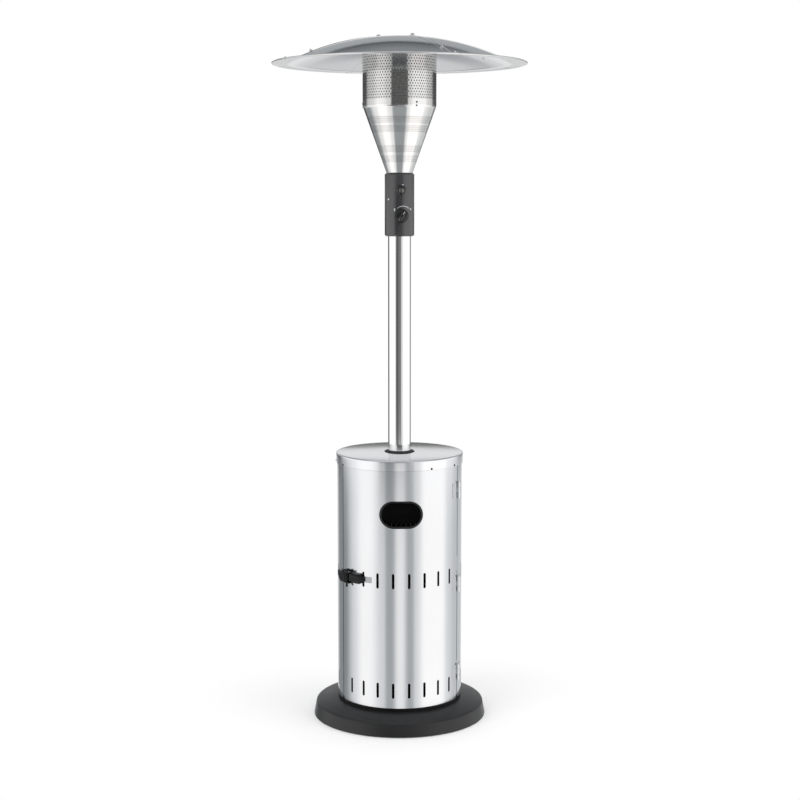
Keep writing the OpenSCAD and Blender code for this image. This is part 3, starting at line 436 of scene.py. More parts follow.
def walled(outer, inner, faces):  # two layers with the same faces, closed along their open edges
    count, edges = len(outer), {}
    for f in faces:
        for a, b in zip(f, f[1:] + f[:1]):
            if (b, a) in edges:
                del edges[(b, a)]
            else:
                edges[(a, b)] = True
    both = [list(f) for f in faces] + [[v + count for v in reversed(f)] for f in faces]
    return outer + inner, both + [[b, a, a + count, b + count] for a, b in edges]


def cellRing(turnA, turnB, low, high, across, up):  # outline of a cell, from its lower left corner
    ring = [(t, low) for t in spread(turnA, turnB, across)[:-1]]
    ring += [(turnB, z) for z in spread(low, high, up)[:-1]]
    ring += [(t, high) for t in spread(turnB, turnA, across)[:-1]]
    return ring + [(turnA, z) for z in spread(high, low, up)[:-1]]


def between(outer, inner, share):
    return [(a[0] + (b[0] - a[0]) * share, a[1] + (b[1] - a[1]) * share) for a, b in zip(outer, inner)]


# geometry node trees for pieces that repeat

class Growth(Board):
    def __init__(self, name, inputs):
        tree = bpy.data.node_groups.new(name, "GeometryNodeTree")
        tree.interface.new_socket("Geometry", in_out="OUTPUT", socket_type="NodeSocketGeometry")
        for label, kind in [("Geometry", "Geometry")] + inputs:
            tree.interface.new_socket(label, in_out="INPUT", socket_type="NodeSocket" + kind)
        super().__init__(tree)
        start = self.node("NodeGroupInput")
        self.given = {s.name: Wire(self, s) for s in start.outputs if s.name}

    def lifted(self, geometry, high):
        return self.wire("GeometryNodeTransform", None, {
            "Geometry": geometry, "Translation": self.vector(0.0, 0.0, high)})

    def onPlaces(self, head):  # one copy on each given point, facing the way its aim says
        aim = self.wire("GeometryNodeInputNamedAttribute", {"data_type": "FLOAT_VECTOR"}, {"Name": "aim"})
        facing = self.wire("FunctionNodeAlignRotationToVector", {"axis": "Z"}, {"Vector": aim})
        return self.wire("GeometryNodeInstanceOnPoints", None, {
            "Points": self.given["Geometry"], "Instance": head, "Rotation": facing})

    def close(self, geometry):
        real = self.wire("GeometryNodeRealizeInstances", None, {0: geometry})
        self.node("NodeGroupOutput", None, {0: self.wire("GeometryNodeSetMaterial", None, {
            "Geometry": real, "Material": self.given["Finish"]})})

    def bake(self, mesh, values):
        holder = bpy.data.objects.new(self.tree.name, mesh)
        scene.collection.objects.link(holder)
        growth = holder.modifiers.new(self.tree.name, "NODES")
        growth.node_group = self.tree
        for item in self.tree.interface.items_tree:
            if item.in_out == "INPUT" and item.name in values:
                growth[item.identifier] = values[item.name]
        graph = bpy.context.evaluated_depsgraph_get()
        made = bpy.data.meshes.new_from_object(holder.evaluated_get(graph))
        bpy.data.objects.remove(holder)
        return shapeOf(made)


def makePerforated():
    g = Growth("perforatedWall", [
        ("Columns", "Int"), ("Rows", "Int"), ("Row Height", "Float"), ("Hole Across", "Float"),
        ("Hole Up", "Float"), ("Foot Height", "Float"), ("Foot Radius", "Float"), ("Top Radius", "Float"),
        ("Sides", "Int"), ("Finish", "Material")])
    sides = g.given["Sides"]
    circle = g.wire("GeometryNodeMeshCircle", {"fill_type": "NONE"}, {"Vertices": sides, "Radius": 1.0})
    band = g.wire("GeometryNodeExtrudeMesh", {"mode": "EDGES"}, {"Mesh": circle, "Offset Scale": 0.0})
    index = g.wire("GeometryNodeInputIndex")
    outer = index > sides - 0.5
    x, y, _ = g.parts(g.wire("GeometryNodeInputPosition"))

    def edgeWave(shift):  # runs once round the edge of a unit tile in even steps
        wave = abs(((index / sides + shift) % 1.0) * 4.0 - 2.0) * 2.0 - 2.0
        return g.maths("MAXIMUM", g.maths("MINIMUM", wave, 1.0), -1.0) * 0.5

    inner = 1.0 - outer
    tile = g.wire("GeometryNodeSetPosition", None, {"Geometry": band, "Position": g.vector(
        outer * edgeWave(0.0) + inner * x * g.given["Hole Across"],
        outer * edgeWave(0.75) + inner * y * g.given["Hole Up"], 0.0)})
    columns = g.given["Columns"]
    count = columns * g.given["Rows"]
    line = g.wire("GeometryNodeMeshLine", None, {"Count": count, "Offset": (0.0, 0.0, 0.0)})
    row = g.maths("FLOOR", index / columns)
    line = g.wire("GeometryNodeSetPosition", None, {"Geometry": line, "Position": g.vector(
        index % columns + (row % 2.0) * 0.5, row + 0.5, 0.0)})
    tiles = g.wire("GeometryNodeRealizeInstances", None, {0: g.wire(
        "GeometryNodeInstanceOnPoints", None, {"Points": line, "Instance": tile})})
    u, v, _ = g.parts(g.wire("GeometryNodeInputPosition"))
    angle = u / columns * (2 * math.pi)
    share = v / g.given["Rows"]
    radius = g.given["Foot Radius"] + (g.given["Top Radius"] - g.given["Foot Radius"]) * share
    wall = g.wire("GeometryNodeSetPosition", None, {"Geometry": tiles, "Position": g.vector(
        radius * g.maths("SINE", angle), 0.0 - radius * g.maths("COSINE", angle),
        g.given["Foot Height"] + v * g.given["Row Height"])})
    g.close(g.wire("GeometryNodeMergeByDistance", None, {"Geometry": wall, "Distance": 0.00002}))
    return g


def makeHeads():
    g = Growth("roundHeads", [("Diameter", "Float"), ("Height", "Float"), ("Cross Recess", "Bool"),
                              ("Finish", "Material")])
    ball = g.wire("GeometryNodeMeshUVSphere", None, {"Segments": 24, "Rings": 14, "Radius": 1.0})
    x, y, z = g.parts(g.wire("GeometryNodeInputPosition"))
    across, tall = g.given["Diameter"], g.given["Height"]
    over = z > 0.0
    rise = g.maths("POWER", g.maths("MAXIMUM", z, 0.0), 0.75) * tall * over + z * 0.1 * tall * (1.0 - over)
    head = g.wire("GeometryNodeSetPosition", None, {
        "Geometry": ball, "Position": g.vector(x * across * 0.5, y * across * 0.5, rise)})
    cut = g.node("GeometryNodeMeshBoolean", {"operation": "DIFFERENCE"}, {"Mesh 1": head})
    for long, wide in ((0.56, 0.13), (0.13, 0.56)):  # two bars, as shares of the diameter, cut the cross
        bar = g.wire("GeometryNodeMeshCube", None, {"Size": g.vector(across * long, across * wide, tall)})
        g.feed(cut.inputs["Mesh 2"], g.lifted(bar, tall))
    head = g.wire("GeometryNodeSwitch", {"input_type": "GEOMETRY"}, {
        "Switch": g.given["Cross Recess"], "False": head, "True": cut.outputs[0]})
    g.close(g.onPlaces(head))
    return g


def makeNuts():
    g = Growth("hexNuts", [
        ("Washer Radius", "Float"), ("Washer Height", "Float"), ("Nut Radius", "Float"),
        ("Nut Height", "Float"), ("Bolt Radius", "Float"), ("Bolt Rise", "Float"), ("Finish", "Material")])

    def barrel(sides, radius, low, tall):
        made = g.wire("GeometryNodeMeshCylinder", None, {"Vertices": sides, "Radius": radius, "Depth": tall})
        return g.lifted(made, low + tall * 0.5)

    nut, washer, bolt = g.given["Nut Height"], g.given["Washer Height"], g.given["Bolt Radius"]
    wide, tipHigh = g.given["Nut Radius"], 0.0008
    ball = g.wire("GeometryNodeTransform", None, {  # rounds the corners of the nut
        "Geometry": g.wire("GeometryNodeMeshUVSphere", None, {"Segments": 24, "Rings": 16, "Radius": 1.0}),
        "Translation": g.vector(0.0, 0.0, washer + nut * 0.5),
        "Scale": g.vector(wide * 1.06, wide * 1.06, nut * 0.95)})
    cut = g.node("GeometryNodeMeshBoolean", {"operation": "INTERSECT"})
    for part in (barrel(6, wide, washer, nut), ball):
        g.feed(cut.inputs["Mesh 2"], part)
    tip = g.wire("GeometryNodeMeshCone", None, {
        "Vertices": 14, "Radius Bottom": bolt, "Radius Top": bolt * 0.7, "Depth": tipHigh})
    shank = g.given["Bolt Rise"] - tipHigh
    parts = (g.lifted(tip, shank), cut.outputs[0], barrel(24, g.given["Washer Radius"], 0.0, washer),
             barrel(14, bolt, 0.0, shank))
    whole = g.node("GeometryNodeJoinGeometry")
    for part in parts:
        g.feed(whole.inputs[0], part)
    g.close(g.onPlaces(whole.outputs[0]))
    return g


def pointMesh(places):  # places are pairs of a point and the direction that a fastener's head faces
    mesh = bpy.data.meshes.new("places")
    mesh.from_pydata([tuple(p) for p, _ in places], [], [])
    aims = mesh.attributes.new("aim", "FLOAT_VECTOR", "POINT")
    for i, (_, aim) in enumerate(places):
        aims.data[i].vector = aim
    return mesh


perforated, roundHeads, hexNuts = makePerforated(), makeHeads(), makeNuts()
print("node trees made")


# bottle housing: door and rear shell with their upright vent slots

housing = {
    "radius": 0.2032, "bottom": 0.0725, "doorTop": 0.8395, "shellTop": 0.8685, "sheet": 0.001,
    "pitch": 14.4, "doorColumns": range(-4, 4), "shellColumns": range(5, 20), "seam": 64.8, "seamGap": 0.0035,
    "corner": 0.012, "edgeSteps": (0, 0.0004, 0.0012, 0.0024, 0.004, 0.0062, 0.009, 0.012),
    "slotWide": 0.0083, "slotLong": 0.0495, "slotHeights": (0.1295, 0.4865), "cellHigh": 0.062,
    "across": 12, "slotSteps": 10, "slotRings": (0.35, 0.7),
    "gripHeight": 0.7005, "gripWide": 0.129, "gripTall": 0.078, "gripCell": 0.116, "gripSteps": 20,
    "gripRings": 9, "foldDeep": 0.011, "foldLow": 0.096, "foldTop": 0.792, "foldSteps": 3,
}
near = 1e-6  # places closer than this count as one


def degreesOf(length):
    return math.degrees(length / housing["radius"])


def slotRing(turn, z, across, up):  # upright slot with round ends, matching cellRing
    r = housing["slotWide"] / 2
    wide, straight = degreesOf(r), housing["slotLong"] / 2 - r

    def roundEnd(middle, start):
        return [(turn + wide * math.cos(a), middle + r * math.sin(a))
                for a in spread(start, start + math.pi, across)[:-1]]

    ring = roundEnd(z - straight, math.pi)
    ring += [(turn + wide, y) for y in spread(z - straight, z + straight, up)[:-1]]
    ring += roundEnd(z + straight, 0)
    return ring + [(turn - wide, y) for y in spread(z + straight, z - straight, up)[:-1]]


def gripRing(centre, across, up):  # lying slot with round ends, matching cellRing
    h = housing
    r, straight, quarter = h["gripTall"] / 2, (h["gripWide"] - h["gripTall"]) / 2, across // 4
    flat = across - 2 * quarter

    def arc(side, startDeg, endDeg, steps):
        return [(side * straight + x, z) for x, z in arcPoints((0, 0), r, startDeg, endDeg, steps)[:-1]]

    ring = arc(-1, 225, 270, quarter) + [(x, -r) for x in spread(-straight, straight, flat)[:-1]]
    ring += arc(1, 270, 315, quarter) + arc(1, -45, 45, up) + arc(1, 45, 90, quarter)
    ring += [(x, r) for x in spread(straight, -straight, flat)[:-1]]
    ring += arc(-1, 90, 135, quarter) + arc(-1, 135, 225, up)
    return [(math.degrees(math.asin(x / h["radius"])), centre + z) for x, z in ring]


def wallSheet(turnA, turnB, columns, top, hasGrip):  # columns are the slots' places, counted from the front
    h, sheet = housing, Sheet()
    half, bottom, pitch, across = h["cellHigh"] / 2, h["bottom"], h["pitch"], h["across"]
    firstTurn, lastTurn = columns[0] * pitch, (columns[-1] + 1) * pitch
    edge = [degreesOf(u) for u in h["edgeSteps"]]
    left = [turnA + e for e in edge] + [firstTurn]
    right = [lastTurn] + [turnB - e for e in reversed(edge)]
    middle = [t for i in columns for t in spread(i * pitch, (i + 1) * pitch, across)[:-1]] + [lastTurn]
    bands = [bottom, bottom + h["corner"]]
    for z in h["slotHeights"]:
        bands += [z - half, z + half]
    if hasGrip:
        bands += [h["gripHeight"] - h["gripCell"] / 2, h["gripHeight"] + h["gripCell"] / 2]
    bands.append(top)
    for turns in (left, right):
        sheet.block(turns, bands)
    for low, high in zip(bands, bands[1:]):
        centre = (low + high) / 2
        if any(abs(centre - z) < near for z in h["slotHeights"]):
            for i in columns:
                outer = cellRing(i * pitch, (i + 1) * pitch, low, high, across, h["slotSteps"])
                inner = slotRing((i + 0.5) * pitch, centre, across, h["slotSteps"])
                sheet.rings(outer, *[between(outer, inner, share) for share in h["slotRings"]], inner)
        elif hasGrip and abs(centre - h["gripHeight"]) < near:
            wide = 2 * pitch  # the cell round the grip takes up four columns
            sheet.block([t for t in middle if t <= -wide + near], [low, high])
            sheet.block([t for t in middle if t >= wide - near], [low, high])
            outer = cellRing(-wide, wide, low, high, 4 * across, h["gripSteps"])
            inner = gripRing(centre, 4 * across, h["gripSteps"])
            sheet.rings(*[between(outer, inner, share) for share in spread(0, 1, h["gripRings"])])
        else:
            sheet.block(middle, [low, high])

    def lifted(turn, z):  # rounds the two lower corners
        u, r = math.radians(min(turn - turnA, turnB - turn)) * h["radius"], h["corner"]
        return max(z, bottom + r - math.sqrt(max(r * r - (r - u) ** 2, 0))) if u < r else z

    return sheet.thick(lambda t, z: spot(t, h["radius"], lifted(t, z)),
                       lambda t, z: spot(t, h["radius"] - h["sheet"], lifted(t, z)))


def foldStrip(turn, towards):  # the door's edge, folded inwards
    h, sheet = housing, Sheet()
    sheet.block(spread(0.0, h["foldDeep"], h["foldSteps"]), [h["foldLow"], h["foldTop"]])
    step, r = towards * degreesOf(h["sheet"]), h["radius"] - h["sheet"] * 0.5
    return sheet.thick(lambda d, z: spot(turn, r - d, z), lambda d, z: spot(turn + step, r - d, z))


halfGap = degreesOf(housing["seamGap"] / 2)
doorTurn, shellTurn = housing["seam"] - halfGap, housing["seam"] + halfGap
doorShape = joined(wallSheet(-doorTurn, doorTurn, housing["doorColumns"], housing["doorTop"], True),
                   foldStrip(-doorTurn, 1), foldStrip(doorTurn, -1))
shellShape = wallSheet(shellTurn, 360 - shellTurn, housing["shellColumns"], housing["shellTop"], False)
makePiece("doorSkin", doorShape, sheetSteel, "door", ["door"])
makePiece("rearShellSkin", shellShape, sheetSteel, "stand", ["rear_shell"])
print("housing done")


# grip: a black lip round a pocket with upright ribs on its floor

grip = {"wide": 0.139, "tall": 0.088, "height": 0.7005, "lip": 0.002, "back": 0.1707, "backOuter": 0.1682,
        "mouth": 0.0077, "ends": 24, "flats": 10, "ribs": 7, "pitch": 0.015, "ribThick": 0.002,
        "ribTop": 0.6742, "ribFront": 0.1962, "ribSink": 0.0012, "ribFoot": 0.001, "ribRound": 0.006,
        "ribBevel": 0.0004}


def gripOutline(inset, depth, onWall):  # one ring of the insert: on the round wall, or at a flat depth
    g = grip
    r, straight = g["tall"] / 2 - inset, (g["wide"] - g["tall"]) / 2
    flat = [(x, -r) for x in spread(-straight, straight, g["flats"])[:-1]]
    flat += [(straight + x, z) for x, z in arcPoints((0, 0), r, -90, 90, g["ends"])[:-1]]
    flat += [(x, r) for x in spread(straight, -straight, g["flats"])[:-1]]
    flat += [(-straight + x, z) for x, z in arcPoints((0, 0), r, 90, 270, g["ends"])[:-1]]
    return [Vector((x, -math.sqrt(depth ** 2 - x * x) if onWall else -depth, g["height"] + z))
            for x, z in flat]


def gripShape():
    g, wall = grip, housing["radius"]
    face, mouth, back = wall + g["lip"], g["mouth"], g["back"]
    rings = [gripOutline(*ring) for ring in (  # from the back, round the lip, to the pocket's floor
        (0.0072, g["backOuter"], False), (0.0052, g["backOuter"] + 0.002, False),
        (0.0052, wall - 0.0001, True), (0.0002, wall + 0.0001, True), (0.0, wall + 0.0007, True),
        (0.0004, wall + 0.0015, True), (0.0014, face, True), (0.0036, face, True),
        (0.0050, face - 0.0004, True), (0.0064, face - 0.0015, True), (0.0073, face - 0.0030, True),
        (mouth, wall - 0.003, True), (mouth, back + 0.004, False), (0.0087, back + 0.0012, False),
        (0.0110, back, False))]
    shapes = [lofted(rings)]
    r, straight, half = g["tall"] / 2 - mouth, (g["wide"] - g["tall"]) / 2, g["ribThick"] / 2
    foot, front, top = g["ribFoot"] - back, -g["ribFront"], g["ribTop"]
    for i in range(g["ribs"]):
        x = (i - (g["ribs"] - 1) / 2) * g["pitch"]
        out = max(abs(x) + half - straight, 0)
        low = g["height"] - math.sqrt(r * r - out * out) - g["ribSink"]
        side = softCorners([(foot, low, 0), (front, low, 0), (front, top, g["ribRound"]), (foot, top, 0)], 6)
        rib = lofted([[Vector((x + s * half, y, z)) for y, z in side] for s in (-1, 1)])
        shapes.append(bevelled(rib, g["ribBevel"]))
    return joined(*shapes)


makePiece("gripPocket", gripShape(), finishes["grip_black"], "door", ["grip_insert"], sharp=50)


# latch: round lever head with a nose over the keeper, hinged on a base that is fixed to the door

latch = {"height": 0.4865, "headTurn": -58.0, "pinTurn": -53.0, "pinR": 0.2162, "pinHole": 0.0031,
         "hubR": 0.0068, "hubHalf": 0.0141, "hubRound": 0.0006, "noseFrom": -71.3, "noseHalf": 0.012,
         "noseIn": 0.2062, "noseOut": 0.216, "noseTip": 0.2135, "noseFall": 0.003,
         "baseFrom": -49.7, "baseTo": -34.9, "baseHalf": 0.0155, "baseIn": 0.2042, "baseOut": 0.2172,
         "baseFall": 0.0035, "baseRise": 0.003, "riseTo": 0.28, "taper": 0.5, "taperFrom": 0.75,
         "drop": 0.004, "dropFrom": 0.7, "earLow": 0.0145, "earHigh": 0.0185, "earR": 0.0078,
         "earRound": 0.0005, "armOut": 0.2226, "armIn": 0.2098, "armOver": (1.0, 1.2)}
headOutline = [(0, 0.2066, 0), (0.0220, 0.2066, 0.0012), (0.0216, 0.2120, 0.002), (0.0188, 0.2222, 0.0028),
               (0.0170, 0.2240, 0.0012), (0.0142, 0.2240, 0.0008), (0.0126, 0.2229, 0.0010),
               (0.0060, 0.2227, 0.002), (0, 0.2232, 0)]


def latchBar(turns, heights, outside, inside):  # curved bar; outside takes shares of its length and height
    sheet = Sheet()
    sheet.block(spread(0, 1, 12), [-1, -0.94, -0.8, -0.5, 0, 0.5, 0.8, 0.94, 1])

    def place(u, v, r):
        return spot(turns[0] + (turns[1] - turns[0]) * u, r, latch["height"] + v * heights(u))

    return sheet.thick(lambda u, v: place(u, v, outside(u, v)), lambda u, v: place(u, v, inside))


def edgeFall(v):  # how far a rounded edge has dropped, from the share of the half width
    return max(abs(v) - 0.5, 0) ** 2 * 4


def roundPlate(innerR, outerR, low, high, soft):
    outline = [(innerR, low, 0), (outerR, low, soft), (outerR, high, soft), (innerR, high, 0)]
    return turned(softCorners(outline, 3), 40)


def latchShapes():
    k = latch
    atPin = Matrix.Translation(spot(k["pinTurn"], k["pinR"], k["height"]))

    def pastShare(u, start):
        return max(u - start, 0) / (1 - start)

    def noseFace(u, v):
        return k["noseTip"] + (k["noseOut"] - k["noseTip"]) * min(u * 2, 1) - k["noseFall"] * edgeFall(v)

    def baseHalf(u):  # tall at the ears, then level, then tapered to the end
        rise = k["baseRise"] * max(1 - u / k["riseTo"], 0)
        return k["baseHalf"] * (1 - k["taper"] * pastShare(u, k["taperFrom"])) + rise

    def baseFace(u, v):
        return k["baseOut"] - k["baseFall"] * edgeFall(v) - k["drop"] * pastShare(u, k["dropFrom"])

    head = moved(turned(softCorners(headOutline, 5), 72), aimed(k["headTurn"], k["height"]))
    nose = latchBar((k["noseFrom"], k["headTurn"]), lambda u: k["noseHalf"], noseFace, k["noseIn"])
    hub = roundPlate(0, k["hubR"], -k["hubHalf"], k["hubHalf"], k["hubRound"])
    lever = joined(head, nose, moved(hub, atPin))
    shapes = [latchBar((k["baseFrom"], k["baseTo"]), baseHalf, baseFace, k["baseIn"])]
    armTurns = spread(k["pinTurn"] + k["armOver"][0], k["baseFrom"] + k["armOver"][1], 4)
    for side in (-1, 1):
        low, high = sorted((side * k["earLow"], side * k["earHigh"]))
        shapes.append(moved(roundPlate(k["pinHole"], k["earR"], low, high, k["earRound"]), atPin))
        arm = Sheet()
        arm.block(armTurns, spread(k["height"] + low, k["height"] + high, 2))
        arm = arm.thick(lambda t, z: spot(t, k["armOut"], z), lambda t, z: spot(t, k["armIn"], z))
        shapes.append(bevelled(arm, k["earRound"]))
    return lever, joined(*shapes)


latchFinish = finishes["latch_black"]
leverShape, mountShape = latchShapes()
makePiece("latchHandle", leverShape, latchFinish, "latch", ["latch_lever"], sharp=45)
makePiece("latchMount", mountShape, latchFinish, "door", ["latch_base"], sharp=45)
print("grip and latch done")


# base, lid, post and the ring round the post

base = {"floorR": 0.282, "shoulderR": 0.275, "shoulderH": 0.048, "round": 0.009, "flatR": 0.2062,
        "top": 0.062, "wall": 0.002, "lip": 0.0025, "easeHalf": 0.006, "easeDrop": 0.0011}


def baseOutline(inset):
    b = base
    c = (b["shoulderR"] - b["round"], b["shoulderH"] - b["round"])
    side = math.degrees(math.atan2(b["floorR"] - b["shoulderR"], b["shoulderH"]))
    slope = math.degrees(math.atan2(b["top"] - b["shoulderH"], c[0] - b["flatR"]))
    flat, ease, top = b["flatR"], b["easeHalf"], b["top"] - inset
    return ([(b["floorR"] - inset, b["lip"])] + arcPoints(c, b["round"] - inset, side, 90 - slope, 10)
            + [(flat + ease, top - b["easeDrop"]), (flat - ease, top), (0, top)])


makePiece("baseShell", turned(baseOutline(0) + list(reversed(baseOutline(base["wall"]))), 160),
          finishes["base_black"], "stand", ["base_cover"], sharp=50)

lid = {"radius": 0.2062, "top": 0.8735, "bottom": 0.8405, "round": 0.005, "ease": 0.0015, "sheet": 0.0012,
       "hole": 0.0383}


def lidOutline():
    d = lid
    r, t, e, top = d["radius"], d["sheet"], d["round"], d["top"]
    c = (r - e, top - e)
    outer = [(r, d["bottom"]), (r, top - e - d["ease"])] + arcPoints(c, e, 0, 90, 8) + [(d["hole"], top)]
    inner = [(d["hole"], top - t)] + arcPoints(c, e - t, 90, 0, 6) + [(r - t, d["bottom"])]
    return outer + inner


makePiece("lidTray", turned(lidOutline(), 192), finishes["lid_steel"], "stand", ["lid"])

post = {"radius": 0.0368, "wall": 0.0015, "bottom": 0.8415, "top": 1.5925}
postOutline = tubeOutline(post["radius"], post["wall"], post["bottom"], post["top"])
makePiece("postTube", turned(postOutline, 96), finishes["post_steel"], "stand", ["post"])

grommet = {"inner": 0.037, "outer": 0.0495, "low": 0.8735, "high": 0.8785, "edgeIn": 0.0008,
           "edgeHigh": 0.0016, "flat": 0.0035}


def grommetOutline():
    g = grommet
    inner, outer, low, high = g["inner"], g["outer"], g["low"], g["high"]
    return softCorners([
        (inner, low, 0), (outer, low, 0.0006), (outer - g["edgeIn"], low + g["edgeHigh"], 0.001),
        (inner + g["flat"], high, 0.002), (inner, high, 0.0008)])


makePiece("postRing", turned(grommetOutline(), 96), finishes["rubber_black"], "stand",
          ["post_grommet"], sharp=60)
print("base, lid and post done")


# control housing, dial, knob and button

control = {"radius": 0.0474, "low": 1.5705, "high": 1.771, "chamfer": 0.004, "wall": 0.0025, "turn": 6.0,
           "postHole": 0.037, "coneHole": 0.0335, "edgeRound": 0.0008, "sideRound": 0.002}


def controlOutline():
    c = control
    r, k, t, low, high = c["radius"], c["chamfer"], c["wall"], c["low"], c["high"]
    edge, side, inside = c["edgeRound"], c["sideRound"], r - t
    return softCorners([
        (c["postHole"], low, 0), (r - k, low, edge), (r, low + k, side), (r, high - k, side),
        (r - k, high, edge), (c["coneHole"], high, 0), (c["coneHole"], high - t, 0),
        (inside - k, high - t, 0), (inside, high - k, 0), (inside, low + k, 0), (inside - k, low + t, 0),
        (c["postHole"], low + t, 0)])


makePiece("controlSleeve", turned(controlOutline(), 128), finishes["control_black"], "stand",
          ["control_housing"])

# depths are from the heater's axis along the knob's own axis
knob = {"height": 1.6355, "dialR": 0.0225, "dialFloor": 0.0489, "dialFace": 0.0544, "dialBack": 0.0395,
        "dialSeat": 0.0425, "seatR": 0.0138, "stemHole": 0.009, "gap": 0.0004, "knobR": 0.019,
        "back": 0.0534, "face": 0.0594, "tip": 0.0704, "pointer": 30.0, "gripWide": 0.013,
        "gripInset": 0.0012, "gripSink": 0.0015, "gripRows": 16, "gripAcross": 8, "squareness": 0.45,
        "lineHalf": 0.0008, "lineFrom": 0.0055, "lineTo": 0.0150, "lineLow": 0.0022, "lineHigh": 0.0002,
        "lineBevel": 0.0003}


def dialOutline():
    k = knob
    well = k["knobR"] + k["gap"]
    return softCorners([
        (k["stemHole"], k["dialSeat"], 0), (k["seatR"], k["dialSeat"], 0), (k["seatR"], k["dialBack"], 0),
        (k["dialR"] - 0.0006, k["dialBack"], 0), (k["dialR"], k["dialFace"] - 0.002, 0.0015),
        (k["dialR"] - 0.0008, k["dialFace"], 0.0008), (well + 0.0008, k["dialFace"], 0.0006),
        (well, k["dialFace"] - 0.001, 0.0004), (well, k["dialFloor"], 0.0003),
        (k["stemHole"], k["dialFloor"], 0)], 3)


def knobShape():
    k = knob
    skirt = turned(softCorners([
        (0, k["back"], 0), (k["knobR"], k["back"], 0.0004), (k["knobR"], k["face"] - 0.001, 0.001),
        (k["knobR"] - 0.002, k["face"], 0.001), (0, k["face"] + 0.0004, 0)], 3), 72)
    half, long, foot = k["gripWide"] / 2, k["knobR"] - k["gripInset"], k["face"] - k["gripSink"]
    rings = []  # the grip bar: a rounded ridge across the skirt, its top a shallow arc
    for y in spread(-long, long, k["gripRows"]):
        top = (k["tip"] - foot) * (0.45 + 0.55 * (1 - (abs(y) / long) ** 3.2))
        width = half * (0.62 + 0.38 * math.sqrt(max(1 - (y / long) ** 2, 0)))
        ring = []
        for j, a in enumerate(spread(0, math.pi, k["gripAcross"])):
            side = math.copysign(abs(math.cos(a)) ** k["squareness"], math.cos(a))
            rise = math.sin(a) ** k["squareness"] if 0 < j < k["gripAcross"] else 0.0
            ring.append(Vector((side * width, y, foot + top * rise)))
        rings.append(ring)
    line = block((-k["lineHalf"], k["lineFrom"], k["tip"] - k["lineLow"]),
                 (k["lineHalf"], k["lineTo"], k["tip"] - k["lineHigh"]))
    return joined(skirt, lofted(rings)), bevelled(line, k["lineBevel"])


toDial = aimed(control["turn"], knob["height"])
toPointer = toDial @ Matrix.Rotation(math.radians(-knob["pointer"]), 4, "Z")
knobBody, knobLine = knobShape()
makePiece("dialCup", moved(turned(dialOutline(), 72), toDial), knobGloss, "stand",
          ["dial_plate"], sharp=40)
makePiece("gasKnob", moved(knobBody, toPointer), knobGloss, "knob", ["gas_knob"], sharp=38)
makePiece("knobPointer", moved(knobLine, toPointer), printFinish, "knob", sharp=38)

button = {"height": 1.717, "radius": 0.009, "back": 0.0439, "front": 0.0554, "dome": 0.003,
          "domeStep": 0.0003, "bezelR": 0.0155, "bezelFace": 0.0514, "bezelBack": 0.0425, "bore": 0.0093,
          "sleeveR": 0.0109, "sleeveBack": 0.0383}


def buttonOutline():  # a short round bar with a domed face
    b = button
    r, dome = b["radius"], b["dome"]
    capR = (r ** 2 + dome ** 2) / (2 * dome)
    capTurn = math.degrees(math.acos(r / capR))
    bar = [(0, b["back"], 0), (r, b["back"], 0.0003), (r, b["front"] - dome - b["domeStep"], 0)]
    return softCorners(bar, 3) + arcPoints((0, b["front"] - capR), capR, capTurn, 90, 12)


def bezelOutline():
    b = button
    face, bore, wide = b["bezelFace"], b["bore"], b["bezelR"]
    return softCorners([
        (bore, b["sleeveBack"], 0), (b["sleeveR"], b["sleeveBack"], 0), (b["sleeveR"], b["bezelBack"], 0),
        (wide, b["bezelBack"], 0), (wide, face - 0.0025, 0.0015), (wide - 0.0028, face, 0.0015),
        (bore + 0.0008, face, 0.0005), (bore, face - 0.0008, 0.0004)], 3)


toButton = aimed(control["turn"], button["height"])
makePiece("igniterButton", moved(turned(buttonOutline(), 64), toButton), finishes["button_grey"], "ignition",
          ["ignition_button"], sharp=50)
makePiece("igniterBezel", moved(turned(bezelOutline(), 72), toButton), knobGloss, "stand",
          ["ignition_bezel"], sharp=40)

# printed scale over the knob: an arc that widens, a bar at its low end and a dot at its high end,
# and an oval over the button
marks = {"turn": 12.9, "radius": 0.031, "from": -40.0, "to": 40.0, "thin": 0.0009, "thick": 0.0030,
         "rise": 0.0001, "arcSteps": 24, "ovalSteps": 20, "spark": (11.5, 1.7335, 0.0028, 0.0016),
         "ends": ((-55.0, 0.034, 0.002, 0.005), (53.0, 0.035, 0.0035, 0.0035))}


def marksShape():
    m, sheet, wall = marks, Sheet(), control["radius"]

    def laid(angle, r):
        a = math.radians(angle)
        return m["turn"] + math.degrees(r * math.sin(a) / wall), knob["height"] + r * math.cos(a)

    def oval(turn, z, wide, tall):
        sheet.face(*[(turn + math.degrees(wide * math.cos(a) / wall), z + tall * math.sin(a))
                     for a in spread(0, 2 * math.pi, m["ovalSteps"])[:-1]])

    arc = []
    for i, angle in enumerate(spread(m["from"], m["to"], m["arcSteps"])):
        wide = m["thin"] + (m["thick"] - m["thin"]) * i / m["arcSteps"]
        arc.append([laid(angle, m["radius"] + s * wide / 2) for s in (-1, 1)])
    for a, b in zip(arc, arc[1:]):
        sheet.face(a[0], b[0], b[1], a[1])
    for angle, r, wide, tall in m["ends"]:
        oval(*laid(angle, r), wide, tall)
    oval(*m["spark"])
    return sheet.thick(lambda t, z: spot(t, wall + m["rise"], z), lambda t, z: spot(t, wall - m["rise"], z))


makePiece("scalePrint", marksShape(), printFinish, "stand")
print("controls done")


# burner cone and screen, perforated by a node tree

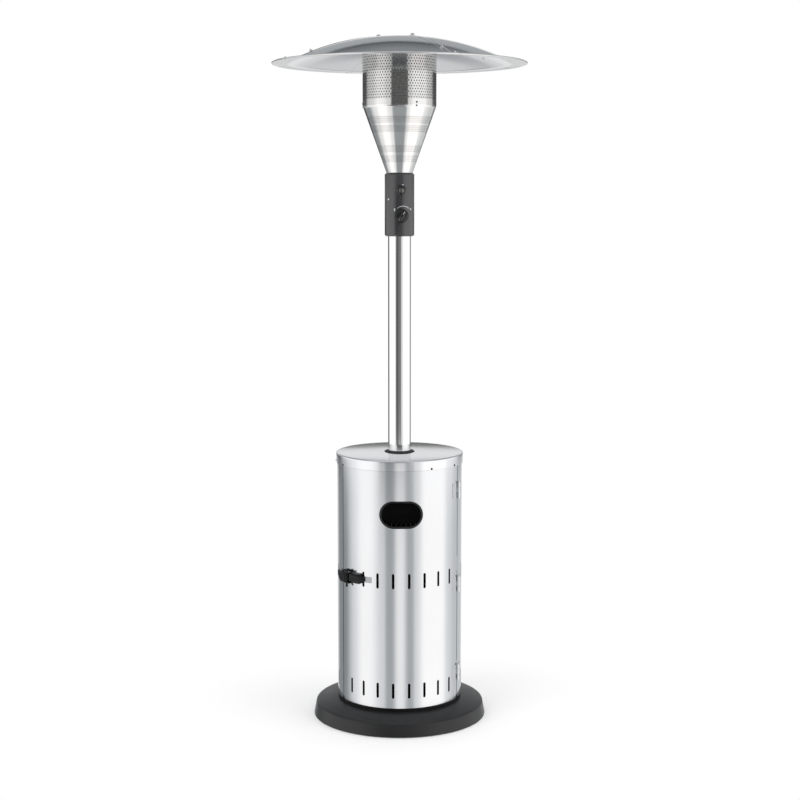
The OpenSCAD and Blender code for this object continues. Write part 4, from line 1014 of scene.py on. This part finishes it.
cone = {"foot": 1.771, "height": 0.203, "lowR": 0.0415, "topR": 0.115, "wall": 0.001, "bandHalf": 0.011,
        "rows": 4, "bands": ((0.044, 60), (0.075, 72), (0.137, 94), (0.165, 104)), "holeD": 0.0026,
        "collarR": 0.116, "collarLow": 1.9755, "collarTop": 1.996}
screen = {"radius": 0.1172, "low": 1.982, "top": 2.150, "holesLow": 2.000, "rows": 17, "rowHigh": 0.00847,
          "columns": 84, "holeD": 0.0050, "wall": 0.001, "gauzeR": 0.1155, "gauze": 0.0003,
          "gauzeDown": 0.004, "gauzeUp": 0.003}
holeSides = 12


def perforatedBand(columns, rows, rowHigh, foot, footR, topR, holeD, wall, finish):
    columnWide = math.pi * (footR + topR) / columns
    points, faces = perforated.bake(bpy.data.meshes.new("seed"), {
        "Columns": columns, "Rows": rows, "Row Height": rowHigh, "Foot Height": foot, "Foot Radius": footR,
        "Top Radius": topR, "Hole Across": holeD / 2 / columnWide, "Hole Up": holeD / 2 / rowHigh,
        "Sides": holeSides, "Finish": finish})
    outward = []
    for ring in faces:  # turn every face outwards before the wall gets its thickness
        a, b, c = (points[v] for v in ring[:3])
        outward.append(ring if (b - a).cross(c - a).dot(Vector((a.x, a.y, 0))) > 0 else ring[::-1])
    inner = [Vector((p.x, p.y, 0)) * (1 - wall / math.hypot(p.x, p.y)) + Vector((0, 0, p.z)) for p in points]
    return walled(points, inner, outward)


def coneRadius(up):
    return cone["lowR"] + (cone["topR"] - cone["lowR"]) * up / cone["height"]


def plainBand(low, high):
    steps = spread(low, high, 3)
    outer = [(coneRadius(u), cone["foot"] + u) for u in steps]
    return turned(outer + [(r - cone["wall"], z) for r, z in reversed(outer)], 128)


def coneShape():
    c = cone
    shapes, edge = [], 0.0
    for middle, columns in c["bands"]:
        low, high = middle - c["bandHalf"], middle + c["bandHalf"]
        shapes.append(plainBand(edge, low))
        shapes.append(perforatedBand(columns, c["rows"], 2 * c["bandHalf"] / c["rows"], c["foot"] + low,
                                     coneRadius(low), coneRadius(high), c["holeD"], c["wall"],
                                     finishes["burner_steel"]))
        edge = high
    shapes.append(plainBand(edge, c["height"]))
    r, t, low, top = c["collarR"], c["wall"], c["collarLow"], c["collarTop"]
    rim, rimHigh = coneRadius(c["height"]), c["foot"] + c["height"]
    collar = softCorners([(rim, rimHigh, 0), (r, low, 0.0012), (r, top, 0.0004), (r - t, top, 0.0004),
                          (r - t, low, 0), (rim - t, rimHigh, 0)], 3)
    return joined(*shapes, turned(collar, 128))


def screenShape():
    s = screen
    r, t, low = s["radius"], s["wall"], s["holesLow"]
    high = low + s["rows"] * s["rowHigh"]
    gauze = tubeOutline(s["gauzeR"], s["gauze"], low - s["gauzeDown"], high + s["gauzeUp"])  # lining behind the holes, painted dark by the screen sheet's painted shade
    plain = [tubeOutline(r, t, s["low"], low), tubeOutline(r, t, high, s["top"]), gauze]
    holes = perforatedBand(s["columns"], s["rows"], s["rowHigh"], low, r, r, s["holeD"], t, screenSteel)
    return joined(*[turned(outline, 148) for outline in plain], holes)


makePiece("burnerConeSkin", coneShape(), finishes["burner_steel"], "stand", ["burner_cone"])
makePiece("burnerScreenSkin", screenShape(), screenSteel, "stand", ["burner_screen"])
print("burner done")


# reflector: four panels, each a dome with a level brim and a rolled hem, lapped over the next one

reflector = {"radius": 0.40499, "rim": 2.114, "crown": 2.199, "domeR": 0.360, "sheet": 0.001, "hem": 0.0028,
             "hole": 0.030, "bend": 0.0025, "bendLift": 0.02, "bendFrom": 0.336, "bendReach": (0.340, 0.384),
             "bendSteps": 18, "brim": (0.390, 0.396, 0.3990), "firstSeam": 25.0, "gap": 0.22, "steps": 40,
             "lap": 0.018, "lapFrom": 0.101, "lapTo": 0.397, "lapRise": 0.0011}
brimFace = reflector["rim"] + reflector["sheet"] / 2
domeRise = reflector["crown"] - brimFace
ballR = (reflector["domeR"] ** 2 + domeRise ** 2) / (2 * domeRise)


def domeHeight(r):  # ball over the level brim, with a soft bend between them
    bend = reflector["bend"]
    over = reflector["crown"] - ballR + math.sqrt(ballR ** 2 - r * r) - brimFace
    return brimFace + 0.5 * (over + math.sqrt(over * over + bend ** 2)) - bend * reflector["bendLift"]


def domeNormal(r):
    step = 1e-5
    slope = (domeHeight(r + step) - domeHeight(r - step)) / (2 * step)
    size = math.hypot(slope, 1)
    return -slope / size, 1 / size


def onDome(seam, x, u, lift):  # a point near a seam: x out along it, u across it, lifted off the outer face
    r = math.hypot(x, u)
    out, up = domeNormal(r)
    share = (r + out * lift) / r
    along, across = spot(seam, 1, 0), spot(seam + 90, 1, 0)
    return along * (x * share) + across * (u * share) + Vector((0, 0, domeHeight(r) + up * lift))


def reachFrom(start, steps):  # radii from the middle out, close together at the bend
    d = reflector
    return spread(start, d["bendFrom"], steps) + spread(*d["bendReach"], d["bendSteps"]) + [d["brim"][0]]


def panelOutline():
    d = reflector
    top = [(r, domeHeight(r)) for r in reachFrom(d["hole"], 24) + list(d["brim"][1:])]
    low = [(r - domeNormal(r)[0] * d["sheet"], z - domeNormal(r)[1] * d["sheet"]) for r, z in top]
    c = (d["radius"] - d["hem"], d["rim"])
    top += arcPoints(c, d["hem"], 150, 30, 4)
    low += arcPoints(c, d["hem"], 210, 330, 4)
    return top + [(d["radius"], d["rim"])] + low[::-1]


def lapShape(seam):  # the strip of a panel's edge that lies on the next panel
    d, sheet = reflector, Sheet()
    lift = {0.003: 0.00005, 0.0004: 0.0001}
    lift.update({u: d["lapRise"] for u in (-0.0016, -d["lap"] / 2, -d["lap"])})
    sheet.block(reachFrom(d["lapFrom"], 20) + [d["lapTo"]], sorted(lift))

    def laid(x, u, thick):
        rise = min(lift.items(), key=lambda item: abs(item[0] - u))[1]
        return onDome(seam, x, u, rise - thick)

    return sheet.thick(lambda x, u: laid(x, u, 0), lambda x, u: laid(x, u, d["sheet"]))


seams = [reflector["firstSeam"] + 90 * i for i in range(4)]
for number, seam in enumerate(seams, 1):
    halfCut = reflector["gap"] / 2
    panel = swept(panelOutline(), seam + halfCut, seam + 90 - halfCut, reflector["steps"])
    makePiece(f"reflectorSkin{number}", joined(panel, lapShape(seam)), finishes["reflector_aluminium"],
              "stand", [f"reflector_panel_{number}"], sharp=40)
print("reflector done")


# screws, rivets, bolts and nuts, one mesh for each body and finish

fasteners = {
    "lidScrews": {"turns": (28, 57, 148, 177, 268, 297), "r": 0.2062, "z": 0.8445, "across": 0.007,
                  "high": 0.0016},
    "shellScrews": {"turns": (-100, 100, 180), "r": 0.2032, "z": 0.0775, "across": 0.008, "high": 0.0025},
    "controlScrew": {"turns": (-49,), "r": 0.0474, "z": 1.6885, "across": 0.008, "high": 0.0025},
    "collarScrews": {"turns": (26, 146, 266), "r": 0.116, "z": 1.9785, "across": 0.006, "high": 0.0018},
    "screenScrews": {"turns": (26, 146, 266), "r": 0.1172, "z": 1.989, "across": 0.006, "high": 0.0018},
    "rivets": {"heights": (0.1595, 0.4525, 0.7605), "off": 6.13, "up": 0.018, "r": 0.2047, "across": 0.0065,
               "high": 0.002},
    "seamBolts": {"reach": (0.300, 0.387), "aside": -0.009, "across": 0.009, "high": 0.0026,
                  "washerR": 0.0055, "washerHigh": 0.0004, "nutR": 0.005, "nutHigh": 0.0036,
                  "boltR": 0.0022, "boltRise": 0.0075},
    "crownNuts": {"turns": (36, 156, 276), "r": 0.067, "z": 2.19695, "washerR": 0.008, "washerHigh": 0.0015,
                  "nutR": 0.006, "nutHigh": 0.005, "boltR": 0.003, "boltRise": 0.00705},
}


def heads(places, across, high, cross):
    return roundHeads.bake(pointMesh(places), {
        "Diameter": across, "Height": high, "Cross Recess": cross, "Finish": finishes["screw_steel"]})


def rivetHeads(side):
    f = fasteners["rivets"]
    turn = housing["seam"] + side * f["off"]
    places = [(spot(turn, f["r"], z + s * f["up"]), spot(turn, 1, 0)) for z in f["heights"] for s in (-1, 1)]
    return heads(places, f["across"], f["high"], False)


def screwHeads(name):
    f = fasteners[name]
    return heads([(spot(t, f["r"], f["z"]), spot(t, 1, 0)) for t in f["turns"]], f["across"], f["high"], True)


def nuts(places, f):
    return hexNuts.bake(pointMesh(places), {
        "Washer Radius": f["washerR"], "Washer Height": f["washerHigh"], "Nut Radius": f["nutR"],
        "Nut Height": f["nutHigh"], "Bolt Radius": f["boltR"], "Bolt Rise": f["boltRise"],
        "Finish": finishes["screw_steel"]})


def standFasteners():
    bolts, crown = fasteners["seamBolts"], fasteners["crownNuts"]
    over, under, aside = [], [], bolts["aside"]
    for seam in seams:
        for x in bolts["reach"]:
            aim = (onDome(seam, x, aside, 0.01) - onDome(seam, x, aside, 0.0)).normalized()
            over.append((onDome(seam, x, aside, reflector["lapRise"]), aim))
            under.append((onDome(seam, x, aside, -reflector["sheet"]), -aim))
    crownPlaces = [(spot(t, crown["r"], crown["z"]), (0, 0, 1)) for t in crown["turns"]]
    return joined(rivetHeads(1), screwHeads("shellScrews"), screwHeads("controlScrew"),
                  heads(under, bolts["across"], bolts["high"], True), nuts(over, bolts),
                  nuts(crownPlaces, crown))


smallScrews = joined(*[screwHeads(name) for name in ("lidScrews", "collarScrews", "screenScrews")])
makePiece("standFasteners", standFasteners(), finishes["screw_steel"], "stand",
          ["shell_screws", "control_screw", "hinge_rivets_shell", "reflector_screws", "crown_nuts"], sharp=35)
makePiece("blackScrews", smallScrews, blackSteel, "stand", ["lid_screws", "screen_screws"],
          sharp=35)
makePiece("doorRivets", rivetHeads(-1), finishes["screw_steel"], "door", ["hinge_rivets_door"],
          sharp=35)
print("fasteners done")


# floor, light and camera

stageSettings = {"floorR": 1.7, "floorSides": 96, "fadeFrom": 0.36, "fadeTo": 0.85, "floorTone": 0.80,
                 "floorSpeck": 0.01, "floorGlow": 0.205, "diffuseLevel": 0.72, "cameraDistance": 5.251,
                 "cameraTurn": -1.5, "cameraHeight": 1.686, "pitch": 7.0, "lens": 73.33, "aside": 0.0176}
lamps = {  # place, target, size and power
    "keyLamp": ((-2.6, -2.4, 4.2), (0, 0, 1.0), 3.0, 60.0),
    "fillLamp": ((3.0, -1.6, 3.4), (0, 0, 1.0), 3.0, 40.0),
    "topLamp": ((0.2, 0.6, 5.0), (0, 0, 0.6), 3.5, 40.0),
}
studio = {
    "panels": {  # turns where a panel starts, is full, starts to fade and has ended
        "left": (-95, -72, -58, -34), "right": (30, 46, 84, 100),
        "postLeft": (-124, -112, -92, -72), "postRight": (82, 100, 112, 124),
        "dimLeft": (-168, -148, -122, -92), "dimRight": (98, 124, 150, 170),
        "edgeLeft": (-170, -164, -138, -122), "edgeRight": (122, 138, 164, 170),
        "front": (-30, -25, 23, 27), "postFront": (-44, -34, 8, 24), "postLine": (-38, -30, -20, -8),
        "core": (-15, -4, 4, 15)},
    "turns": {  # turns to either side between which a change happens
        "screenSides": (116, 132), "rear": (105, 145), "crown": (156, 176), "behind": (164, 175)},
    "heights": {  # heights of a ray's direction between which a change happens
        "housing": (-0.158, -0.152), "cone": (-0.5, -0.3), "coneFoot": (-0.80, -0.68), "post": (-0.02, 0.02),
        "dim": (-0.45, -0.33), "front": (0.12, 0.18), "screenLow": (0.02, 0.04), "screenHigh": (0.11, 0.13),
        "lid": (0.115, 0.135), "around": (0.14, 0.55), "domeShade": (0.225, 0.265), "domeLight": (0.29, 0.34),
        "crown": (0.485, 0.512), "crownFade": (0.53, 0.56), "crownEnd": (0.58, 0.68), "zenith": (0.80, 0.92),
        "underside": (-0.36, -0.31), "streakLow": (-0.68, -0.58), "streakHigh": (-0.50, -0.42),
        "brimLow": (-0.30, -0.26), "cool": (0.2, 0.3)},
}


def studioLight(board, x, y, z):  # what metal sees: white walls, brighter side panels, a dark camera side
    turn = board.turnOf(x, y)

    def panel(name):
        start, full, fade, end = studio["panels"][name]
        return board.smooth(turn, start, full) * board.smooth(turn, fade, end, 1.0, 0.0)

    def aside(name):
        return board.smooth(abs(turn), *studio["turns"][name])

    def over(name):
        return board.smooth(z, *studio["heights"][name])

    def beneath(name):
        return board.smooth(z, *studio["heights"][name], 1.0, 0.0)

    def mixed(first, second, share):
        return first * (1.0 - share) + share * second

    low, deep = beneath("housing"), beneath("cone")
    middle = beneath("post") * (1.0 - low)  # rays that come from the post
    dim = (panel("dimLeft") * (0.18 + low * 0.42 - middle * 0.18)
           + panel("dimRight") * (0.22 - middle * 0.22))
    postBright = panel("postLeft") * 0.34 + panel("postRight") * 0.36
    postEdges = panel("edgeLeft") * 0.86 + panel("edgeRight") * 0.66
    level = (0.92 + panel("left") * 0.34 + panel("right") * 0.40 + postBright * middle - dim * over("dim")
             - postEdges * middle)
    front = mixed(panel("front"), panel("postFront"), middle) * beneath("front")
    frontLevel = (0.11 + middle * (0.10 - panel("postLine") * 0.10)
                  + low * (0.41 - deep * 0.14 - beneath("coneFoot") * 0.24)
                  + panel("core") * low * (1.0 - deep) * 0.64)
    level = mixed(level, frontLevel, front)
    level = mixed(level, 0.12, aside("screenSides") * over("screenLow") * beneath("screenHigh"))
    rear, behind = aside("rear"), aside("behind")
    crown = over("crown") * aside("crown") * (0.40 - over("crownFade") * 0.15 - over("crownEnd") * 0.12)
    upper = 0.90 - over("domeShade") * 0.48 + over("domeLight") * 0.04 - crown
    around = 0.88 - over("around") * 0.34  # what the lid and the dome show from the sides and from behind
    level = mixed(level, mixed(around, upper, rear), over("lid"))
    under = 0.82 - behind * over("streakLow") * beneath("streakHigh") * 0.34
    level = mixed(level, under, rear * beneath("underside"))
    level = level - behind * over("brimLow") * (1.0 - over("screenLow")) * (1.0 - low) * 0.22
    level = mixed(level, 0.9, over("zenith"))
    cool = (1.0 - level) * (1.0 - (1.0 - low) * beneath("cool"))  # shade is cool, except on post and burner
    return board.vector(level * (1.0 - cool * 0.13), level * (1.0 - cool * 0.05), level * 1.005)


def plainRays(board, path):  # rays straight from the camera or through glass, which see plain white
    return Wire(board, path.outputs["Is Camera Ray"]) + Wire(board, path.outputs["Is Transmission Ray"])


def makeFloor():
    s = stageSettings
    count, tone, white = s["floorSides"], s["floorTone"], [1, 1, 1, 1]
    mesh = bpy.data.meshes.new("floor")
    rim = [tuple(spot(360 * i / count, s["floorR"], 0)) for i in range(count)]
    mesh.from_pydata(rim, [], [list(range(count))])
    floor = bpy.data.objects.new("floor", mesh)
    scene.collection.objects.link(floor)
    material = bpy.data.materials.new("paleFloor")
    material.use_nodes = True
    board = Board(material.node_tree)
    place = Wire(board, board.node("ShaderNodeTexCoord").outputs["Object"])
    x, y, _ = board.parts(place)
    speck = board.wire("ShaderNodeTexNoise", None, {"Vector": place, "Scale": 3.0, "Detail": 3.0})
    shades = [[tone + side * s["floorSpeck"]] * 3 + [1] for side in (-1, 1)]
    matte = board.wire("ShaderNodeBsdfDiffuse", None, {"Color": board.mixColour(speck, *shades)})
    path = board.node("ShaderNodeLightPath")
    plain = plainRays(board, path)
    glow = board.wire("ShaderNodeEmission", None, {"Color": white, "Strength": plain * s["floorGlow"]})
    lit = board.wire("ShaderNodeAddShader", None, {0: matte, 1: glow})
    bright = board.wire("ShaderNodeEmission", None, {"Color": white, "Strength": 1.0})
    away = board.smooth(board.axisDistance(x, y), s["fadeFrom"], s["fadeTo"])
    ground = board.wire("ShaderNodeMixShader", None, {0: away * plain, 1: lit, 2: bright})
    clear = board.wire("ShaderNodeBsdfTransparent")  # metal sees the studio through the floor
    both = board.wire("ShaderNodeMixShader", None, {0: path.outputs["Is Glossy Ray"], 1: ground, 2: clear})
    board.node("ShaderNodeOutputMaterial", None, {"Surface": both})
    mesh.materials.append(material)


def makeWorld():
    world = bpy.data.worlds.new("studio")
    scene.world = world
    world.use_nodes = True
    board = Board(world.node_tree)
    x, y, z = board.parts(board.node("ShaderNodeTexCoord").outputs["Generated"])
    path = board.node("ShaderNodeLightPath")
    diffuse = [stageSettings["diffuseLevel"]] * 3 + [1]
    seen = board.mixColour(path.outputs["Is Glossy Ray"], diffuse, studioLight(board, x, y, z))
    colour = board.mixColour(plainRays(board, path), seen, [1, 1, 1, 1])
    back = board.wire("ShaderNodeBackground", None, {"Color": colour, "Strength": 1.0})
    board.node("ShaderNodeOutputWorld", None, {"Surface": back})


def makeLamp(name, place, target, size, energy):
    lamp = bpy.data.lights.new(name, "AREA")
    lamp.shape, lamp.size, lamp.energy = "DISK", size, energy
    made = bpy.data.objects.new(name, lamp)
    scene.collection.objects.link(made)
    made.location = place
    made.rotation_euler = (Vector(target) - Vector(place)).to_track_quat("-Z", "Y").to_euler()
    made.visible_glossy = False
    made.visible_camera = False


def makeCamera():
    s = stageSettings
    data = bpy.data.cameras.new("camera")
    data.lens, data.sensor_width, data.sensor_fit = s["lens"], 36.0, "AUTO"
    data.clip_end = 60.0
    camera = bpy.data.objects.new("camera", data)
    scene.collection.objects.link(camera)
    camera.location = spot(s["cameraTurn"], s["cameraDistance"], s["cameraHeight"])
    pitch = math.radians(s["pitch"])
    forward = spot(s["cameraTurn"] + 180 - s["aside"], math.cos(pitch), -math.sin(pitch))
    camera.rotation_euler = forward.to_track_quat("-Z", "Y").to_euler()
    scene.camera = camera


makeFloor()
makeWorld()
for lampName, lampSettings in lamps.items():
    makeLamp(lampName, *lampSettings)
makeCamera()
scene.view_settings.view_transform = "Standard"
print("stage done")
